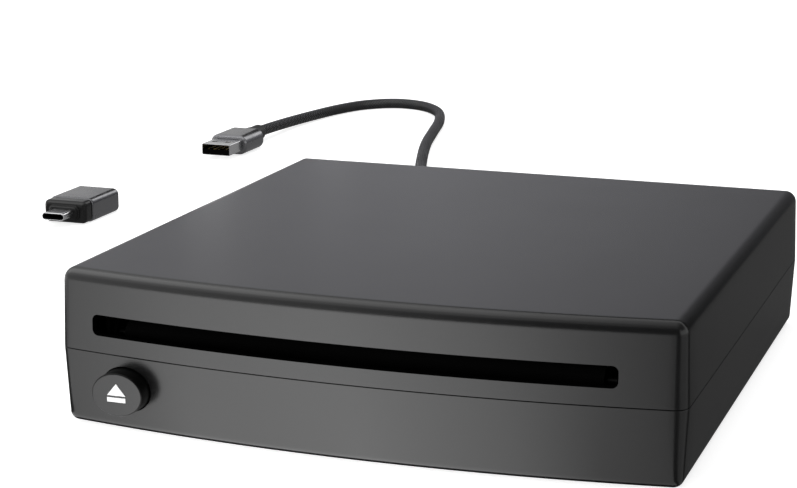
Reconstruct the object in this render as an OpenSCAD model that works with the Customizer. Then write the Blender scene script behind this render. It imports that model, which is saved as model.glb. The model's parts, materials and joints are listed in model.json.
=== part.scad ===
// External slot-loading disc player for a car: a two-part case, the disc drive inside it,
// a captive lead with a plug on its end, and a loose adapter that slides onto that plug.
// Millimetres, +Z up. The origin is the middle of the case on the surface that it stands on.

/* [Case] */
// Width of the case at its seam
case_w = 150; // [146:1:170]
// Depth of the case at its seam, on the centre line
case_d = 154.6; // [152:0.2:175]
// Height of the case from the surface under its feet
case_h = 38; // [37:0.5:46]
// Height of the seam between the two halves, as a share of the case's height
seam_share = 0.494; // [0.46:0.001:0.52]
// How far the front face bows forward across its width
front_bow = 6.4; // [3:0.2:8]
// Thickness of the case walls
wall = 2.2; // [1.6:0.1:2.6]
// Radius of the rounded top edge
edge_r = 2.9; // [1:0.1:3]
// Radius of the rounded bottom edge
base_r = 2.1; // [0.6:0.1:2.2]
// Radius of the upright corners
corner_r = 3.4; // [1.2:0.1:4]
// Draft of the upper half, in degrees
draft_up = 1.8; // [0.5:0.1:3]
// Draft of the lower half, in degrees
draft_low = 2.9; // [0.5:0.1:4]
// Depth and height of the groove that marks the seam
groove = 0.35; // [0.2:0.05:0.6]

/* [Disc slot] */
// How far the slot's ends stay from the sides of the case, on average
slot_side = 12; // [10:0.5:14]
// Height of the slot
slot_h = 5; // [4.6:0.1:6]
// Sideways place of the slot's middle
slot_x = -2.7; // [-4:0.1:0]
// Height of the slot's middle, which is the plane of the disc, as a share of the case's height
slot_share = 0.668; // [0.645:0.001:0.68]
// Radius of the slot's corners
slot_r = 1.5; // [0.5:0.1:2.2]

/* [Eject button] */
// Width of the oval cap
button_w = 12.8; // [10:0.1:16]
// Height of the oval cap
button_h = 10.4; // [8:0.1:12]
// Distance of the cap's middle from the left side of the case
button_in = 18.1; // [17:0.1:27]
// Height of the cap's middle
button_z = 10.8; // [9.5:0.1:11]
// How far the cap stands out of the front face
button_proud = 5; // [2:0.5:6]
// How far the button goes in
button_travel = 1; // [0.5:0.1:1.2]
// Width of the symbol on the cap
symbol_w = 4.7; // [3:0.1:6]

/* [Feet and screws] */
// Diameter of a rubber foot
foot_d = 12; // [8:0.5:14]
// How far a foot stands out of the base
foot_proud = 0.6; // [0.4:0.1:1.5]
// Depth of the seat that a foot is glued into
foot_sink = 1; // [0.5:0.1:1.2]
// Thread diameter of the case screws
case_screw_d = 2.5; // [2:0.1:3]
// Thread diameter of the small screws
small_screw_d = 2; // [1.6:0.1:2.2]

/* [Drive] */
// Gap between the drive and the sides of the case, on average
drive_side = 12.5; // [11.5:0.5:13]
// Thickness of the chassis sheet
sheet = 1; // [0.6:0.1:1.2]
// Diameter of the loading roller
roller_d = 6.4; // [5:0.2:7]
// How far the turntable rises to take the disc
lift = 3.5; // [3:0.1:3.8]
// How far the cam slider moves to lift it
cam_travel = 10.5; // [9:0.5:11]
// Diameter of the turntable
table_d = 30; // [26:0.5:31]
// Diameter of the clamp puck
puck_d = 26; // [22:0.5:30]
// Gear module
gear_m = 0.6; // [0.55:0.01:0.62]

/* [Lead] */
// Diameter of the braided cord
cord_d = 4.5; // [4:0.1:5]
// Distance of the lead's exit from the left side of the case
lead_in = 30; // [27:0.5:33]
// Height of the lead's exit
lead_z = 6.5; // [6.2:0.1:6.8]
// Length of the tapered strain relief outside the case
relief_l = 9.4; // [6:0.1:12]

/* [Plug] */
// Width of the plug's housing
plug_w = 15.6; // [15:0.1:18]
// Thickness of the plug's housing
plug_t = 7.8; // [7.6:0.1:9.4]
// Length of the plug's housing
plug_l = 18; // [16:0.5:28]
// Length of the boot behind the housing
boot_l = 13; // [10:0.5:16]
// Width of the plug's metal shell
shell_w = 12; // [11.8:0.1:12.2]
// Thickness of the plug's metal shell
shell_t = 4.5; // [4.4:0.05:4.6]
// Length of the shell outside the housing
shell_l = 12; // [11.5:0.1:12.5]

/* [Adapter] */
// Width of the adapter's sleeve
adapter_w = 16.4; // [16:0.1:18]
// Thickness of the adapter's sleeve
adapter_t = 8.2; // [8.2:0.1:9.4]
// Length of the adapter's sleeve
adapter_l = 19; // [16:0.5:28]
// Length of the nose in front of the sleeve
nose_l = 5; // [4:0.5:8]
// Width of the small connector's shell
tip_w = 8.34; // [8.2:0.02:8.4]
// Thickness of the small connector's shell
tip_t = 2.56; // [2.5:0.02:2.6]
// Length of the small connector outside the nose
tip_l = 6.65; // [6.4:0.05:7]

/* [Fits] */
// Gap between pieces that pass or slide
clear = 0.3; // [0.2:0.05:0.4]
// Radial play of a shaft in its bore
play = 0.05; // [0.02:0.01:0.08]

/* [Hidden] */
$fn = 48;
// Steps of the faceted case, per front, per corner and per rounded edge
bow_n = 14;
corner_n = 4;
round_n = 4;
oval_n = 40;
min_corner = 0.4;

// Case levels
seam_z = case_h * seam_share;
floor_z = foot_proud + wall;
ceiling_z = case_h - wall;
inner_chamfer = 1;
lip_gap = 0.15;
lip_t = 1.2;
lip_h = 1.6;
bow_r = (pow(case_w / 2, 2) + pow(front_bow, 2)) / (2 * front_bow);
bow_y = bow_r - case_d / 2;
wall_in = wall + lip_gap + lip_t;

// Disc slot and what else keeps its distance from the sides
slot_z = case_h * slot_share;
slot_w = case_w - 2 * slot_side;
button_x = button_in - case_w / 2;
lead_x = lead_in - case_w / 2;

// Screws: heads, cross recesses and bosses
case_head_d = case_screw_d * 1.92;
case_head_h = 1.4;
head_sink = 0.1;
cross_w = 0.6;
cross_d = 0.8;
case_seat_z = foot_proud + head_sink + case_head_h;
case_screw_l = 12;
boss_d = case_screw_d * 2.24;
boss_seat_d = boss_d + 0.6;
boss_gap = 3.2;
boss_z = floor_z + boss_gap;
boss_in = 6.6;
boss_front_in = 22.3;
boss_back_in = 7.3;
boss_x = case_w / 2 - boss_in;
boss_front = -case_d / 2 + boss_front_in;
boss_back = case_d / 2 - boss_back_in;
small_head_d = small_screw_d * 1.9;
small_head_h = 1.1;
foot_in = 17;
foot_front_in = 19.3;
foot_back_in = 15.3;
foot_x = case_w / 2 - foot_in;
foot_front = -case_d / 2 + foot_front_in;
foot_back = case_d / 2 - foot_back_in;

// Board on the floor of the case
board_gap = 2.5;
board_t = 1.6;
board_z = floor_z + board_gap;
board_top = board_z + board_t;
board_left_in = 11;
board_right_in = 27;
board_x0 = board_left_in - case_w / 2;
board_x1 = case_w / 2 - board_right_in;
board_post_d = 5;
board_screw_in = 3;
board_screw_l = 3.4;
chip_h = 1.4;
can_d = 6.3;
can_h = 6;
header_h = 2.2;
header_w = 8;
header_l = 5;

// Drive: its box, above the board and below the ceiling; drive coordinates start at the slot's middle
front_gap = 2.2;
back_gap = 7.3;
base_gap = 0.4;
cover_gap = 1.3;
drive_w = case_w - 2 * drive_side;
hw = drive_w / 2;
drive_y = -case_d / 2 + front_bow + wall + front_gap;
drive_back = case_d / 2 - back_gap;
base_z = board_top + header_h + base_gap;
base_top = base_z + sheet;
wall_top = ceiling_z - sheet - cover_gap;
headroom = wall_top - slot_z;
base_set = 10.5;
base_front = drive_y + base_set;
spindle_share = 0.5165;
spindle_y = drive_y + (drive_back - drive_y) * spindle_share;
disc_t = 1.2;
tab = 6;
cover_side = 3.5;
cover_in = 20;
cover_head_h = 0.9;
cover_screw_l = 2.4;
damper_h = 3;
damper_d = 8;
post_d = 7;
post_top = base_z - damper_h;
post_bite = 2.5;
mount_in = 6.5;
mount_front_in = 16.5;
mount_back_in = 4;
mount_x = hw - mount_in;
mount_front = drive_y + mount_front_in;
mount_back = drive_back - mount_back_in;
board_to_spindle = 14;
board_back = spindle_y - board_to_spindle;

// Loading roller, gears and motor
roller_in = 4;
roller_gap = 0.8;
roller_end = 4.5;
roller_y = drive_y + roller_in;
roller_z = slot_z - roller_gap - roller_d / 2;
roller_shaft_d = 2.4;
roller_l = drive_w - 2 * roller_end;
press = 0.02;
bush_d = 5;
bush_l = sheet + 1.5;
shaft_end = 1.2;
gear_gap = 1.1;
gear_x = hw + gear_gap;
gear_w = 3;
roller_teeth = 16;
idler_teeth = 26;
pinion_teeth = 10;
backlash = 0.2;
mesh_gap = 0.1;
motor_d = 10.8;
motor_l = 20;
motor_shaft_d = 1.5;
motor_shaft_l = 6;
motor_set = 21;
motor_y = roller_y + motor_set;
motor_z = base_top + play + motor_d / 2;
stud_d = 2;
stud_head_d = 3.6;
stud_head_h = 0.6;
mesh_1 = gear_m * (roller_teeth + idler_teeth) / 2 + mesh_gap;
mesh_2 = gear_m * (idler_teeth + pinion_teeth) / 2 + mesh_gap;
axle_gap = norm([motor_y - roller_y, motor_z - roller_z]);
axle_dir = [motor_y - roller_y, motor_z - roller_z] / axle_gap;
idler_along = (mesh_1 * mesh_1 - mesh_2 * mesh_2 + axle_gap * axle_gap) / (2 * axle_gap);
idler_up = sqrt(mesh_1 * mesh_1 - idler_along * idler_along);
idler_y = roller_y + axle_dir[0] * idler_along - axle_dir[1] * idler_up;
idler_z = roller_z + axle_dir[1] * idler_along + axle_dir[0] * idler_up;
angle_1 = atan2(idler_z - roller_z, idler_y - roller_y);
angle_2 = atan2(motor_z - idler_z, motor_y - idler_y);
idler_turn = angle_1 + 180 + 180 / idler_teeth;
mesh_shift = (angle_2 - idler_turn) * idler_teeth / 360;
pinion_turn = angle_2 + 180 + (mesh_shift * 360 + 180) / pinion_teeth;

// Upper guide and the disc sensor's lever
guide_gap = 0.9;
guide_relief = 0.8;
guide_end = 14;
guide_cap = 1.2;
cheek_w = 18;
cheek_l = 8;
cheek_gap = 2.8;
lever_share = 0.588;
lever_set = 5;
lever_w = 5;
lever_t = 1.6;
lever_hub_d = 3;
lever_pin_d = 1.6;
lever_pin_l = 16;
lever_tip = 1.8;
lever_y = base_front + lever_set;
lever_z = slot_z + headroom * lever_share;

// Traverse: deck, spindle, rails and pickup, drawn at rest, which is lowered
deck_drop = 7.6;
deck_t = 1;
deck_hw = 32;
deck_lead = 18;
deck_gap = 3.5;
deck_z = slot_z - deck_drop;
deck_front = spindle_y - deck_lead;
deck_back = drive_back - deck_gap;
table_z = slot_z - disc_t / 2 - lift;
table_t = 1.8;
hub_d = 14.6;
hub_h = 1.8;
hub_cone = 0.6;
spindle_d = 2;
spindle_l = 4;
spindle_motor_d = 22;
spindle_motor_h = 6;
rail_d = 2.4;
rail_x = 18.5;
rail_drop = 2.6;
rail_z = deck_z - rail_drop;
bracket_t = 1.5;
bracket_lap = 4;
bracket_set = 11.5;
bracket_drop = 7.2;
bracket_y = spindle_y + bracket_set;
bracket_z = deck_z - bracket_drop;
screw_x = 25;
screw_drop = 5.1;
screw_z = deck_z - screw_drop;
lead_screw_d = 2.4;
lead_screw_in = 3;
sled_motor_d = 9;
sled_motor_l = 12.5;
lens_r0 = 24;
lens_d = 6;
lens_h = 1.1;
sled_y = spindle_y + lens_r0;
sled_half = 6.5;
sled_hw = 15;
sled_lap = 3.5;
sled_drop = 4.8;
sled_rise = 0.6;
sled_bottom = deck_z - sled_drop;
sled_top = deck_z + sled_rise;
nut_half = 3;
nut_r = 2.5;
pin_d = 2;
pin_drop = 1.6;
pin_lead = 4;
pin_in = 16.5;
pin_end = 0.6;
pin_ear = 4;
pin_z = deck_z - pin_drop;
pin_y1 = spindle_y - pin_lead;
pin_y2 = deck_back - pin_in;
lug_half = 8;
window_hw = 36.5;
window_lead = 6;
cam_gap = 0.7;
cam_x = window_hw + cam_gap;
cam_t = 1.2;
cam_end = 5;
cam_cap = 3;
guide_side = 1.1;
guide_x = cam_x + cam_t + guide_side;
guide_over = 2.4;
guide_top = pin_z + lift + guide_over;

// Clamp arm and puck
clamp_in = 6;
clamp_share = 0.565;
clamp_y = drive_back - clamp_in;
clamp_z = slot_z + headroom * clamp_share;
clamp_pin_d = 2;
clamp_pin_end = 2.3;
barrel_d = 4.4;
barrel_l = 40;
ear_t = 1.5;
ear_half = 2.5;
arm_t = 1.2;
arm_z = clamp_z - arm_t / 2;
arm_w = 24;
arm_rim = 4;
puck_share = 0.26;
puck_t_share = 0.188;
puck_z = slot_z + headroom * puck_share;
puck_t = headroom * puck_t_share;
puck_recess = 1.2;
neck_d = 16;
puck_flange_d = 21;
puck_flange_t = 1.1;

// Ribbon between the board and the deck
ribbon = 0.25;
ribbon_w = 12;
ribbon_rise = 4;
socket_side = 14;
socket_deep = 4;
cable_in = 38.5;
cable_x = cable_in - hw;

// Eject button and its switch
flange_lap = 1.2;
flange_t = 1.2;
cap_edge = 0.9;
cap_n = 3;
cap_y = front_y(button_x) + inset_at(button_z) - button_proud;
flange_y = front_y(button_x - button_w / 2 - flange_lap) + wall_in + clear;
stem_l = 1.2;
stem_y = flange_y + flange_t + stem_l;
stem_d = 4;
switch_gap = 0.2;
switch_y = stem_y + button_travel + switch_gap;
switch_w = 6;
switch_l = 3.5;
switch_over = 2.6;
plunger_d = 2.8;
plunger_in = 1.2;
board_front_gap = 0.5;
board_front = flange_y + flange_t + button_travel + board_front_gap;
print_t = 0.12;
mark_bar = symbol_w * 0.23;
mark_high = symbol_w * 0.58;
mark_low = symbol_w * 0.02;
mark_gap = symbol_w * 0.1;

// Rubber gland in the back wall
gland_neck = 6.4;
gland_flange_d = 8.4;
gland_flange_t = 1.7;
gland_out_y = case_d / 2 - inset_at(lead_z + gland_flange_d / 2);
gland_in_gap = 1.5;
gland_in_y = case_d / 2 - wall_in - gland_in_gap;
gland_in_d = 7.2;
gland_in_t = 1;
relief_y = gland_out_y + gland_flange_t + relief_l;
tail_d = 3.2;

// Plug and adapter lie on one line, on the same surface as the case, and keep their place to the lead's exit
plug_aside = 135;
plug_behind = 154;
adapter_behind = 24;
plug_x = lead_x - plug_aside;
plug_y = relief_y + plug_behind;
adapter_y = relief_y + adapter_behind;
axis_z = max(plug_t, adapter_t) / 2;
housing_y = plug_y + shell_l;
boot_y = housing_y + plug_l;
boot_root = 3;
boot_w = plug_w - 3.2;
boot_t = plug_t - 1.4;
boot_d = cord_d + 1.9;
shell_wall = 0.3;
shell_in = 5;
window_x = 2.9;
window_w = 2.4;
window_y0 = 4.6;
window_y1 = 6.9;
contact_w = 1;
contact_t = 0.1;
contact_y0 = 1.2;
contact_y1 = 10;
tongue_t = 1.9;
tongue_in = 0.4;
housing_r = 3.3;
boot_r = 2.4;
sleeve_r = 2;
collar_l = 1.4;
collar_w = tip_w + 3.2;
collar_t = tip_t + 2.6;
collar_r = 2;
nose_step = 0.3;
nose_y = adapter_y + tip_l + collar_l;
sleeve_y = nose_y + nose_l;
mouth_y = sleeve_y + adapter_l;
sleeve_wall = 0.8;
tip_wall = 0.3;
tip_root = 1;
tip_gap = 0.8;
socket_w = shell_w + 0.5;
socket_t = shell_t + 0.5;
socket_l = shell_l + 0.4;
socket_lip = 3.2;

// Points that the cord's middle line passes, from the strain relief's end to the boot
cord_z = cord_d / 2 + 0.05;
cord_route = [for (p = [
  [0, 0, lead_z], [0, 4, lead_z - 0.1], [-1, 12, 5.3], [-3, 22, 3.7], [-6, 34, 2.6], [-11, 50, cord_z],
  [-18, 70, cord_z], [-27, 94, cord_z], [-37, 120, cord_z], [-47, 148, cord_z], [-56, 176, cord_z],
  [-64, 204, cord_z], [-70, 230, cord_z], [-76, 256, cord_z], [-84, 278, cord_z], [-96, 292, cord_z],
  [-110, 295, cord_z], [-122, 286, cord_z], [-129, 270, cord_z], [-133, 250, 2.5], [-135, 230, 3],
  [-135, 212, 3.8], [-135, 202, axis_z], [-135, 197, axis_z]
]) [lead_x + p[0], relief_y + p[1], p[2]]];
cord_steps = 2;
cord_sides = 10;

// How far the side of the case leans in at a height
function inset_at(z) = z > seam_z ? (z - seam_z) * tan(draft_up) : (seam_z - z) * tan(draft_low);

// Front face at the seam, at a sideways place
function front_y(x) = bow_y - sqrt(bow_r * bow_r - x * x);

function arc(x, y, r, a0, a1, n, first) =
  [for (i = [first:n]) let (a = a0 + (a1 - a0) * i / n) [x + r * cos(a), y + r * sin(a)]];

// Outline of the case seen from above, moved in by t: a bowed front and four rounded corners
function outline(t) =
  let (
    c = max(corner_r - t, min_corner),
    side = case_w / 2 - t - c,
    back = case_d / 2 - t - c,
    front = bow_y - sqrt(pow(bow_r - t - c, 2) - side * side),
    half = atan2(side, bow_y - front)
  )
  concat(
    arc(0, bow_y, bow_r - t, 270 - half, 270 + half, bow_n, 1),
    arc(side, front, c, half - 90, 0, corner_n, 1),
    arc(side, back, c, 0, 90, corner_n, 0),
    arc(-side, back, c, 90, 180, corner_n, 0),
    arc(-side, front, c, 180, 270 - half, corner_n, 0)
  );

function oval(w, h, n) = [for (i = [0:n - 1]) [w / 2 * cos(360 * i / n), h / 2 * sin(360 * i / n)]];

// Closed skin over a stack of rings that all have as many points
module skin(rings) {
  n = len(rings[0]);
  m = len(rings);
  sides = [for (j = [0:m - 2], i = [0:n - 1]) let (k = (i + 1) % n)
    each [[j * n + i, (j + 1) * n + i, (j + 1) * n + k], [j * n + i, (j + 1) * n + k, j * n + k]]];
  ends = [[for (i = [0:n - 1]) i], [for (i = [n - 1:-1:0]) (m - 1) * n + i]];
  polyhedron(points = [for (r = rings) each r], faces = concat(ends, sides));
}

// Case shape through levels of [height, inset]
module case_loft(levels) {
  skin([for (l = levels) [for (p = outline(l[1])) [p[0], p[1], l[0]]]]);
}

module block(x0, x1, y0, y1, z0, z1) {
  translate([x0, y0, z0]) cube([x1 - x0, y1 - y0, z1 - z0]);
}

module rod_x(x0, x1, y, z, d) {
  translate([x0, y, z]) rotate([0, 90, 0]) cylinder(d = d, h = x1 - x0);
}

module rod_y(y0, y1, x, z, d) {
  translate([x, y0, z]) rotate([-90, 0, 0]) cylinder(d = d, h = y1 - y0);
}

module rod_z(z0, z1, x, y, d) {
  translate([x, y, z0]) cylinder(d = d, h = z1 - z0);
}

// Flat shape drawn in X and Z, drawn out along Y
module along_y(y0, y1) {
  translate([0, y1, 0]) rotate([90, 0, 0]) linear_extrude(y1 - y0) children();
}

// Flat shape drawn in Y and Z, drawn out along X
module along_x(x0, x1) {
  translate([x0, 0, 0]) rotate([90, 0, 90]) linear_extrude(x1 - x0) children();
}

module rounded(w, h, r) {
  square([w - 2 * r, h], center = true);
  square([w, h - 2 * r], center = true);
  for (sx = [-1, 1], sz = [-1, 1]) translate([sx * (w / 2 - r), sz * (h / 2 - r)]) circle(r);
}

// Slot of width d from point p to point q
module long_hole(p, q, d) {
  run = q - p;
  translate(p) circle(d = d);
  translate(q) circle(d = d);
  translate(p) rotate(atan2(run[1], run[0])) translate([0, -d / 2 + 0.02]) square([norm(run), d - 0.04]);
}

module at_drive() {
  translate([slot_x, 0, 0]) children();
}

module at_case_screws() {
  for (x = [-boss_x, boss_x], y = [boss_front, boss_back]) translate([x, y, 0]) children();
}

module at_feet() {
  for (x = [-foot_x, foot_x], y = [foot_front, foot_back]) translate([x, y, 0]) children();
}

module at_drive_mounts() {
  for (x = [slot_x - mount_x, slot_x + mount_x], y = [mount_front, mount_back])
    translate([x, y, 0]) children();
}

module at_cover_screws() {
  for (x = [cover_side - hw, hw - cover_side], y = [drive_y + cover_in, drive_back - cover_in])
    translate([x, y, 0]) children();
}

module at_board_screws() {
  left = board_x0 + board_screw_in;
  right = board_x1 - board_screw_in;
  back = board_back - 10;
  front = board_front + 4;
  for (p = [[left, back], [right, back], [right, front], [left + 23, front]])
    translate([p[0], p[1], 0]) children();
}

// Screw standing on its tip: thread below z, head above it
module screw_down(z, length, d, head_d, head_h) {
  rod_z(z - length, z + 0.01, 0, 0, d);
  difference() {
    rod_z(z, z + head_h, 0, 0, head_d);
    for (a = [0, 90]) rotate(a)
      block(-head_d / 3, head_d / 3, -cross_w / 2, cross_w / 2, z + head_h / 2, z + head_h + 1);
  }
}

// Half angle of a gear tooth at radius r
function roll(a) = tan(a) * 180 / PI - a;
function tooth_half(teeth, r) =
  let (pitch_r = gear_m * teeth / 2, base = pitch_r * cos(20))
  90 / teeth - backlash / pitch_r * 90 / PI + roll(20) - roll(acos(min(1, base / max(r, base))));

function gear_outline(teeth) =
  let (
    pitch_r = gear_m * teeth / 2,
    low = pitch_r - 1.25 * gear_m,
    high = pitch_r + gear_m,
    mid = max(low + 0.05, pitch_r * cos(20)),
    steps = [low, mid, (mid + high) / 2, high]
  )
  [for (i = [0:teeth - 1]) each concat(
    [for (k = [0:3]) let (a = 360 * i / teeth - tooth_half(teeth, steps[k])) steps[k] * [cos(a), sin(a)]],
    [for (k = [3:-1:0]) let (a = 360 * i / teeth + tooth_half(teeth, steps[k])) steps[k] * [cos(a), sin(a)]]
  )];

module gear(teeth, y, z, turn, bore) {
  along_x(gear_x, gear_x + gear_w) translate([y, z]) difference() {
    rotate(turn) polygon(gear_outline(teeth));
    circle(d = bore);
  }
}

module top_cover() {
  shell = concat(
    [[seam_z, groove], [seam_z + groove, inset_at(seam_z + groove)]],
    [for (k = [0:round_n]) let (a = 90 * k / round_n, z = case_h - edge_r + edge_r * sin(a))
      [z, inset_at(case_h - edge_r) + edge_r * (1 - cos(a)) + (z - case_h + edge_r) * tan(draft_up)]]
  );
  low = [seam_z - 1, wall];
  high = [ceiling_z - inner_chamfer, wall + inset_at(ceiling_z)];
  hollow = [low, high, high + inner_chamfer * [1, 1]];
  color([0.2, 0.2, 0.21]) difference() {
    union() {
      difference() {
        case_loft(shell);
        case_loft(hollow);
        along_y(-case_d / 2 - 1, drive_y - 0.5) translate([slot_x, slot_z]) rounded(slot_w, slot_h, slot_r);
      }
      at_case_screws() rod_z(boss_z, ceiling_z + 0.5, 0, 0, boss_d);
    }
    at_case_screws() rod_z(boss_z - 1, case_seat_z + case_screw_l + 1, 0, 0, case_screw_d + 2 * play);
  }
}

module bottom_case() {
  shell = concat(
    [for (k = [round_n:-1:0]) let (a = 90 * k / round_n, z = foot_proud + base_r * (1 - sin(a)))
      [z, inset_at(foot_proud + base_r) + base_r * (1 - cos(a))]],
    [[seam_z - groove, 0], [seam_z, groove], [seam_z, wall + lip_gap], [seam_z + lip_h, wall + lip_gap]]
  );
  low = [floor_z, inset_at(floor_z) + wall + inner_chamfer];
  hollow = [low, low + inner_chamfer * [1, -1], [seam_z + lip_h + 1, wall_in]];
  color([0.19, 0.19, 0.2]) difference() {
    union() {
      difference() {
        case_loft(shell);
        case_loft(hollow);
      }
      at_case_screws() rod_z(floor_z - 1, boss_z, 0, 0, boss_seat_d);
      at_board_screws() rod_z(floor_z - 1, board_z, 0, 0, board_post_d);
      at_drive_mounts() rod_z(floor_z - 1, post_top, 0, 0, post_d);
    }
    at_feet() rod_z(foot_proud - 1, foot_proud + foot_sink, 0, 0, foot_d + 2 * play);
    at_case_screws() {
      rod_z(foot_proud - 1, case_seat_z, 0, 0, case_head_d + 2 * clear);
      rod_z(case_seat_z - 1, boss_z + 1, 0, 0, case_screw_d + clear);
    }
    at_board_screws() rod_z(floor_z, board_z + 1, 0, 0, small_screw_d + 2 * play);
    at_drive_mounts() rod_z(floor_z, post_top + 1, 0, 0, small_screw_d + 2 * play);
    along_y(-case_d / 2 - 1, flange_y) translate([button_x, button_z])
      polygon(oval(button_w + 2 * clear, button_h + 2 * clear, oval_n));
    rod_y(case_d / 2 - wall_in - 2, case_d / 2 + 1, lead_x, lead_z, gland_neck + 2 * play);
  }
}

module rubber_feet() {
  color([0.08, 0.08, 0.08]) at_feet() rod_z(0, foot_proud + foot_sink, 0, 0, foot_d);
}

module case_screws() {
  color([0.3, 0.3, 0.31]) at_case_screws() {
    rod_z(case_seat_z - 0.01, case_seat_z + case_screw_l, 0, 0, case_screw_d);
    difference() {
      rod_z(case_seat_z - case_head_h, case_seat_z, 0, 0, case_head_d);
      for (a = [0, 90]) rotate(a)
        block(-case_head_d / 3, case_head_d / 3, -cross_w / 2, cross_w / 2,
              case_seat_z - case_head_h - 1, case_seat_z - case_head_h + cross_d);
    }
  }
}

module eject_button() {
  rings = concat(
    [[flange_y + 0.01, 0]],
    [for (k = [0:cap_n]) let (a = 90 * k / cap_n) [cap_y + cap_edge * (1 - sin(a)), cap_edge * (1 - cos(a))]]
  );
  color([0.13, 0.13, 0.14]) {
    skin([for (r = rings) [for (p = oval(button_w - 2 * r[1], button_h - 2 * r[1], oval_n))
      [button_x + p[0], r[0], button_z + p[1]]]]);
    along_y(flange_y, flange_y + flange_t) translate([button_x, button_z])
      polygon(oval(button_w + 2 * flange_lap, button_h + 2 * flange_lap, oval_n));
    rod_y(flange_y + flange_t - 0.01, stem_y, button_x, button_z, stem_d);
  }
}

// Eject mark: a triangle over a bar
module button_symbol() {
  color([0.95, 0.95, 0.95]) along_y(cap_y - print_t, cap_y) translate([button_x, button_z]) {
    polygon([[-symbol_w / 2, -mark_low], [symbol_w / 2, -mark_low], [0, mark_high]]);
    translate([-symbol_w / 2, -mark_low - mark_gap - mark_bar]) square([symbol_w, mark_bar]);
  }
}

module switch_plunger() {
  color([0.1, 0.1, 0.1]) rod_y(stem_y, switch_y + plunger_in, button_x, button_z, plunger_d);
}

module eject_switch() {
  color([0.25, 0.25, 0.27]) difference() {
    block(button_x - switch_w / 2, button_x + switch_w / 2, switch_y, switch_y + switch_l,
          board_top, button_z + switch_over);
    rod_y(switch_y - 1, switch_y + plunger_in + button_travel + clear, button_x, button_z,
          plunger_d + 2 * play);
  }
}

module main_board() {
  color([0.05, 0.3, 0.14]) difference() {
    block(board_x0, board_x1, board_front, board_back, board_z, board_top);
    at_board_screws() rod_z(board_z - 1, board_top + 1, 0, 0, small_screw_d + clear);
    at_drive_mounts() rod_z(board_z - 1, board_top + 1, 0, 0, post_d + 4 * clear);
  }
}

module board_chips() {
  color([0.07, 0.07, 0.08]) for (c = [[-18, 26, 14], [6, 30, 10], [-42, 28, 7], [28, 34, 6]])
    block(c[0] - c[2] / 2, c[0] + c[2] / 2, board_front + c[1] - c[2] / 2, board_front + c[1] + c[2] / 2,
          board_top, board_top + chip_h);
}

module board_capacitors() {
  color([0.3, 0.32, 0.36]) for (x = [-26, -18, 20])
    rod_z(board_top, board_top + can_h, x, board_front + 4.5, can_d);
}

module board_screws() {
  color([0.7, 0.7, 0.7]) at_board_screws()
    screw_down(board_top, board_screw_l, small_screw_d, small_head_d, small_head_h);
}

module lead_header() {
  color([0.85, 0.83, 0.75])
    block(lead_x - header_w / 2, lead_x + header_w / 2, board_back - header_l, board_back + 0.4,
          board_top, board_top + header_h);
}

// The lead's inner end, from the gland to the header on the board
module lead_tail() {
  color([0.12, 0.12, 0.12]) rod_y(board_back + 0.4, gland_in_y, lead_x, lead_z, tail_d);
}

module cable_socket() {
  color([0.85, 0.83, 0.75]) at_drive()
    block(cable_x - socket_side / 2, cable_x + socket_side / 2, board_back - 1 - socket_deep, board_back - 1,
          board_top, board_top + header_h);
}

// Ribbon from the board up to the underside of the deck
module flat_cable() {
  low = board_top + header_h / 2;
  y0 = board_back - 1;
  y1 = board_back + ribbon_rise;
  y2 = y1 + ribbon_rise;
  color([0.9, 0.9, 0.88]) at_drive() along_x(cable_x - ribbon_w / 2, cable_x + ribbon_w / 2)
    polygon([
      [y0, low], [y1, low], [y1, deck_z - ribbon], [y2, deck_z - ribbon], [y2, deck_z],
      [y1 - ribbon, deck_z], [y1 - ribbon, low + ribbon], [y0, low + ribbon]
    ]);
}

module drive_chassis() {
  color([0.62, 0.63, 0.64]) at_drive() difference() {
    union() {
      block(-hw, hw, base_front, drive_back, base_z, base_top);
      for (s = [-1, 1]) block(s * (hw - sheet / 2) - sheet / 2, s * (hw - sheet / 2) + sheet / 2,
                              drive_y, drive_back, base_z, wall_top);
      block(-hw, hw, drive_back - sheet, drive_back, base_z, wall_top);
      at_cover_screws() block(-tab / 2, tab / 2, -tab / 2, tab / 2, wall_top - sheet, wall_top);
      for (x = [-guide_x - sheet, guide_x], y = [pin_y1, pin_y2])
        block(x, x + sheet, y - lug_half, y + lug_half, base_z, guide_top);
      for (x = [-barrel_l / 2 - clear - ear_t, barrel_l / 2 + clear])
        block(x, x + ear_t, clamp_y - ear_half, drive_back, clamp_z - ear_half, clamp_z + ear_half);
    }
    block(-window_hw, window_hw, deck_front - window_lead, drive_back - 2 * sheet,
          base_z - 1, base_top + 0.001);
    for (x = [-mount_x, mount_x], y = [mount_front, mount_back])
      rod_z(base_z - 1, base_top + 1, x, y, small_screw_d + 2 * clear);
    rod_x(-hw - 1, hw + 1, roller_y, roller_z, bush_d + 2 * play);
    rod_x(hw - 2, hw + 1, idler_y, idler_z, stud_d + 2 * play);
    rod_x(hw - 2, hw + 1, motor_y, motor_z, motor_shaft_d + 2);
    at_cover_screws() rod_z(wall_top - 3, wall_top + 1, 0, 0, small_screw_d + 2 * play);
    for (x = [-guide_x - sheet - 1, guide_x - 1], y = [pin_y1, pin_y2])
      along_x(x, x + sheet + 2) long_hole([y, pin_z], [y, pin_z + lift], pin_d + 2 * clear);
    rod_x(-hw, hw, clamp_y, clamp_z, clamp_pin_d + 2 * play);
  }
}

module drive_cover() {
  color([0.66, 0.67, 0.68]) at_drive() difference() {
    block(-hw, hw, drive_y, drive_back, wall_top, wall_top + sheet);
    at_cover_screws() rod_z(wall_top - 1, wall_top + sheet + 1, 0, 0, small_screw_d + clear);
  }
}

module cover_screws() {
  color([0.7, 0.7, 0.7]) at_drive() at_cover_screws()
    screw_down(wall_top + sheet, cover_screw_l, small_screw_d, small_head_d, cover_head_h);
}

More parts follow.
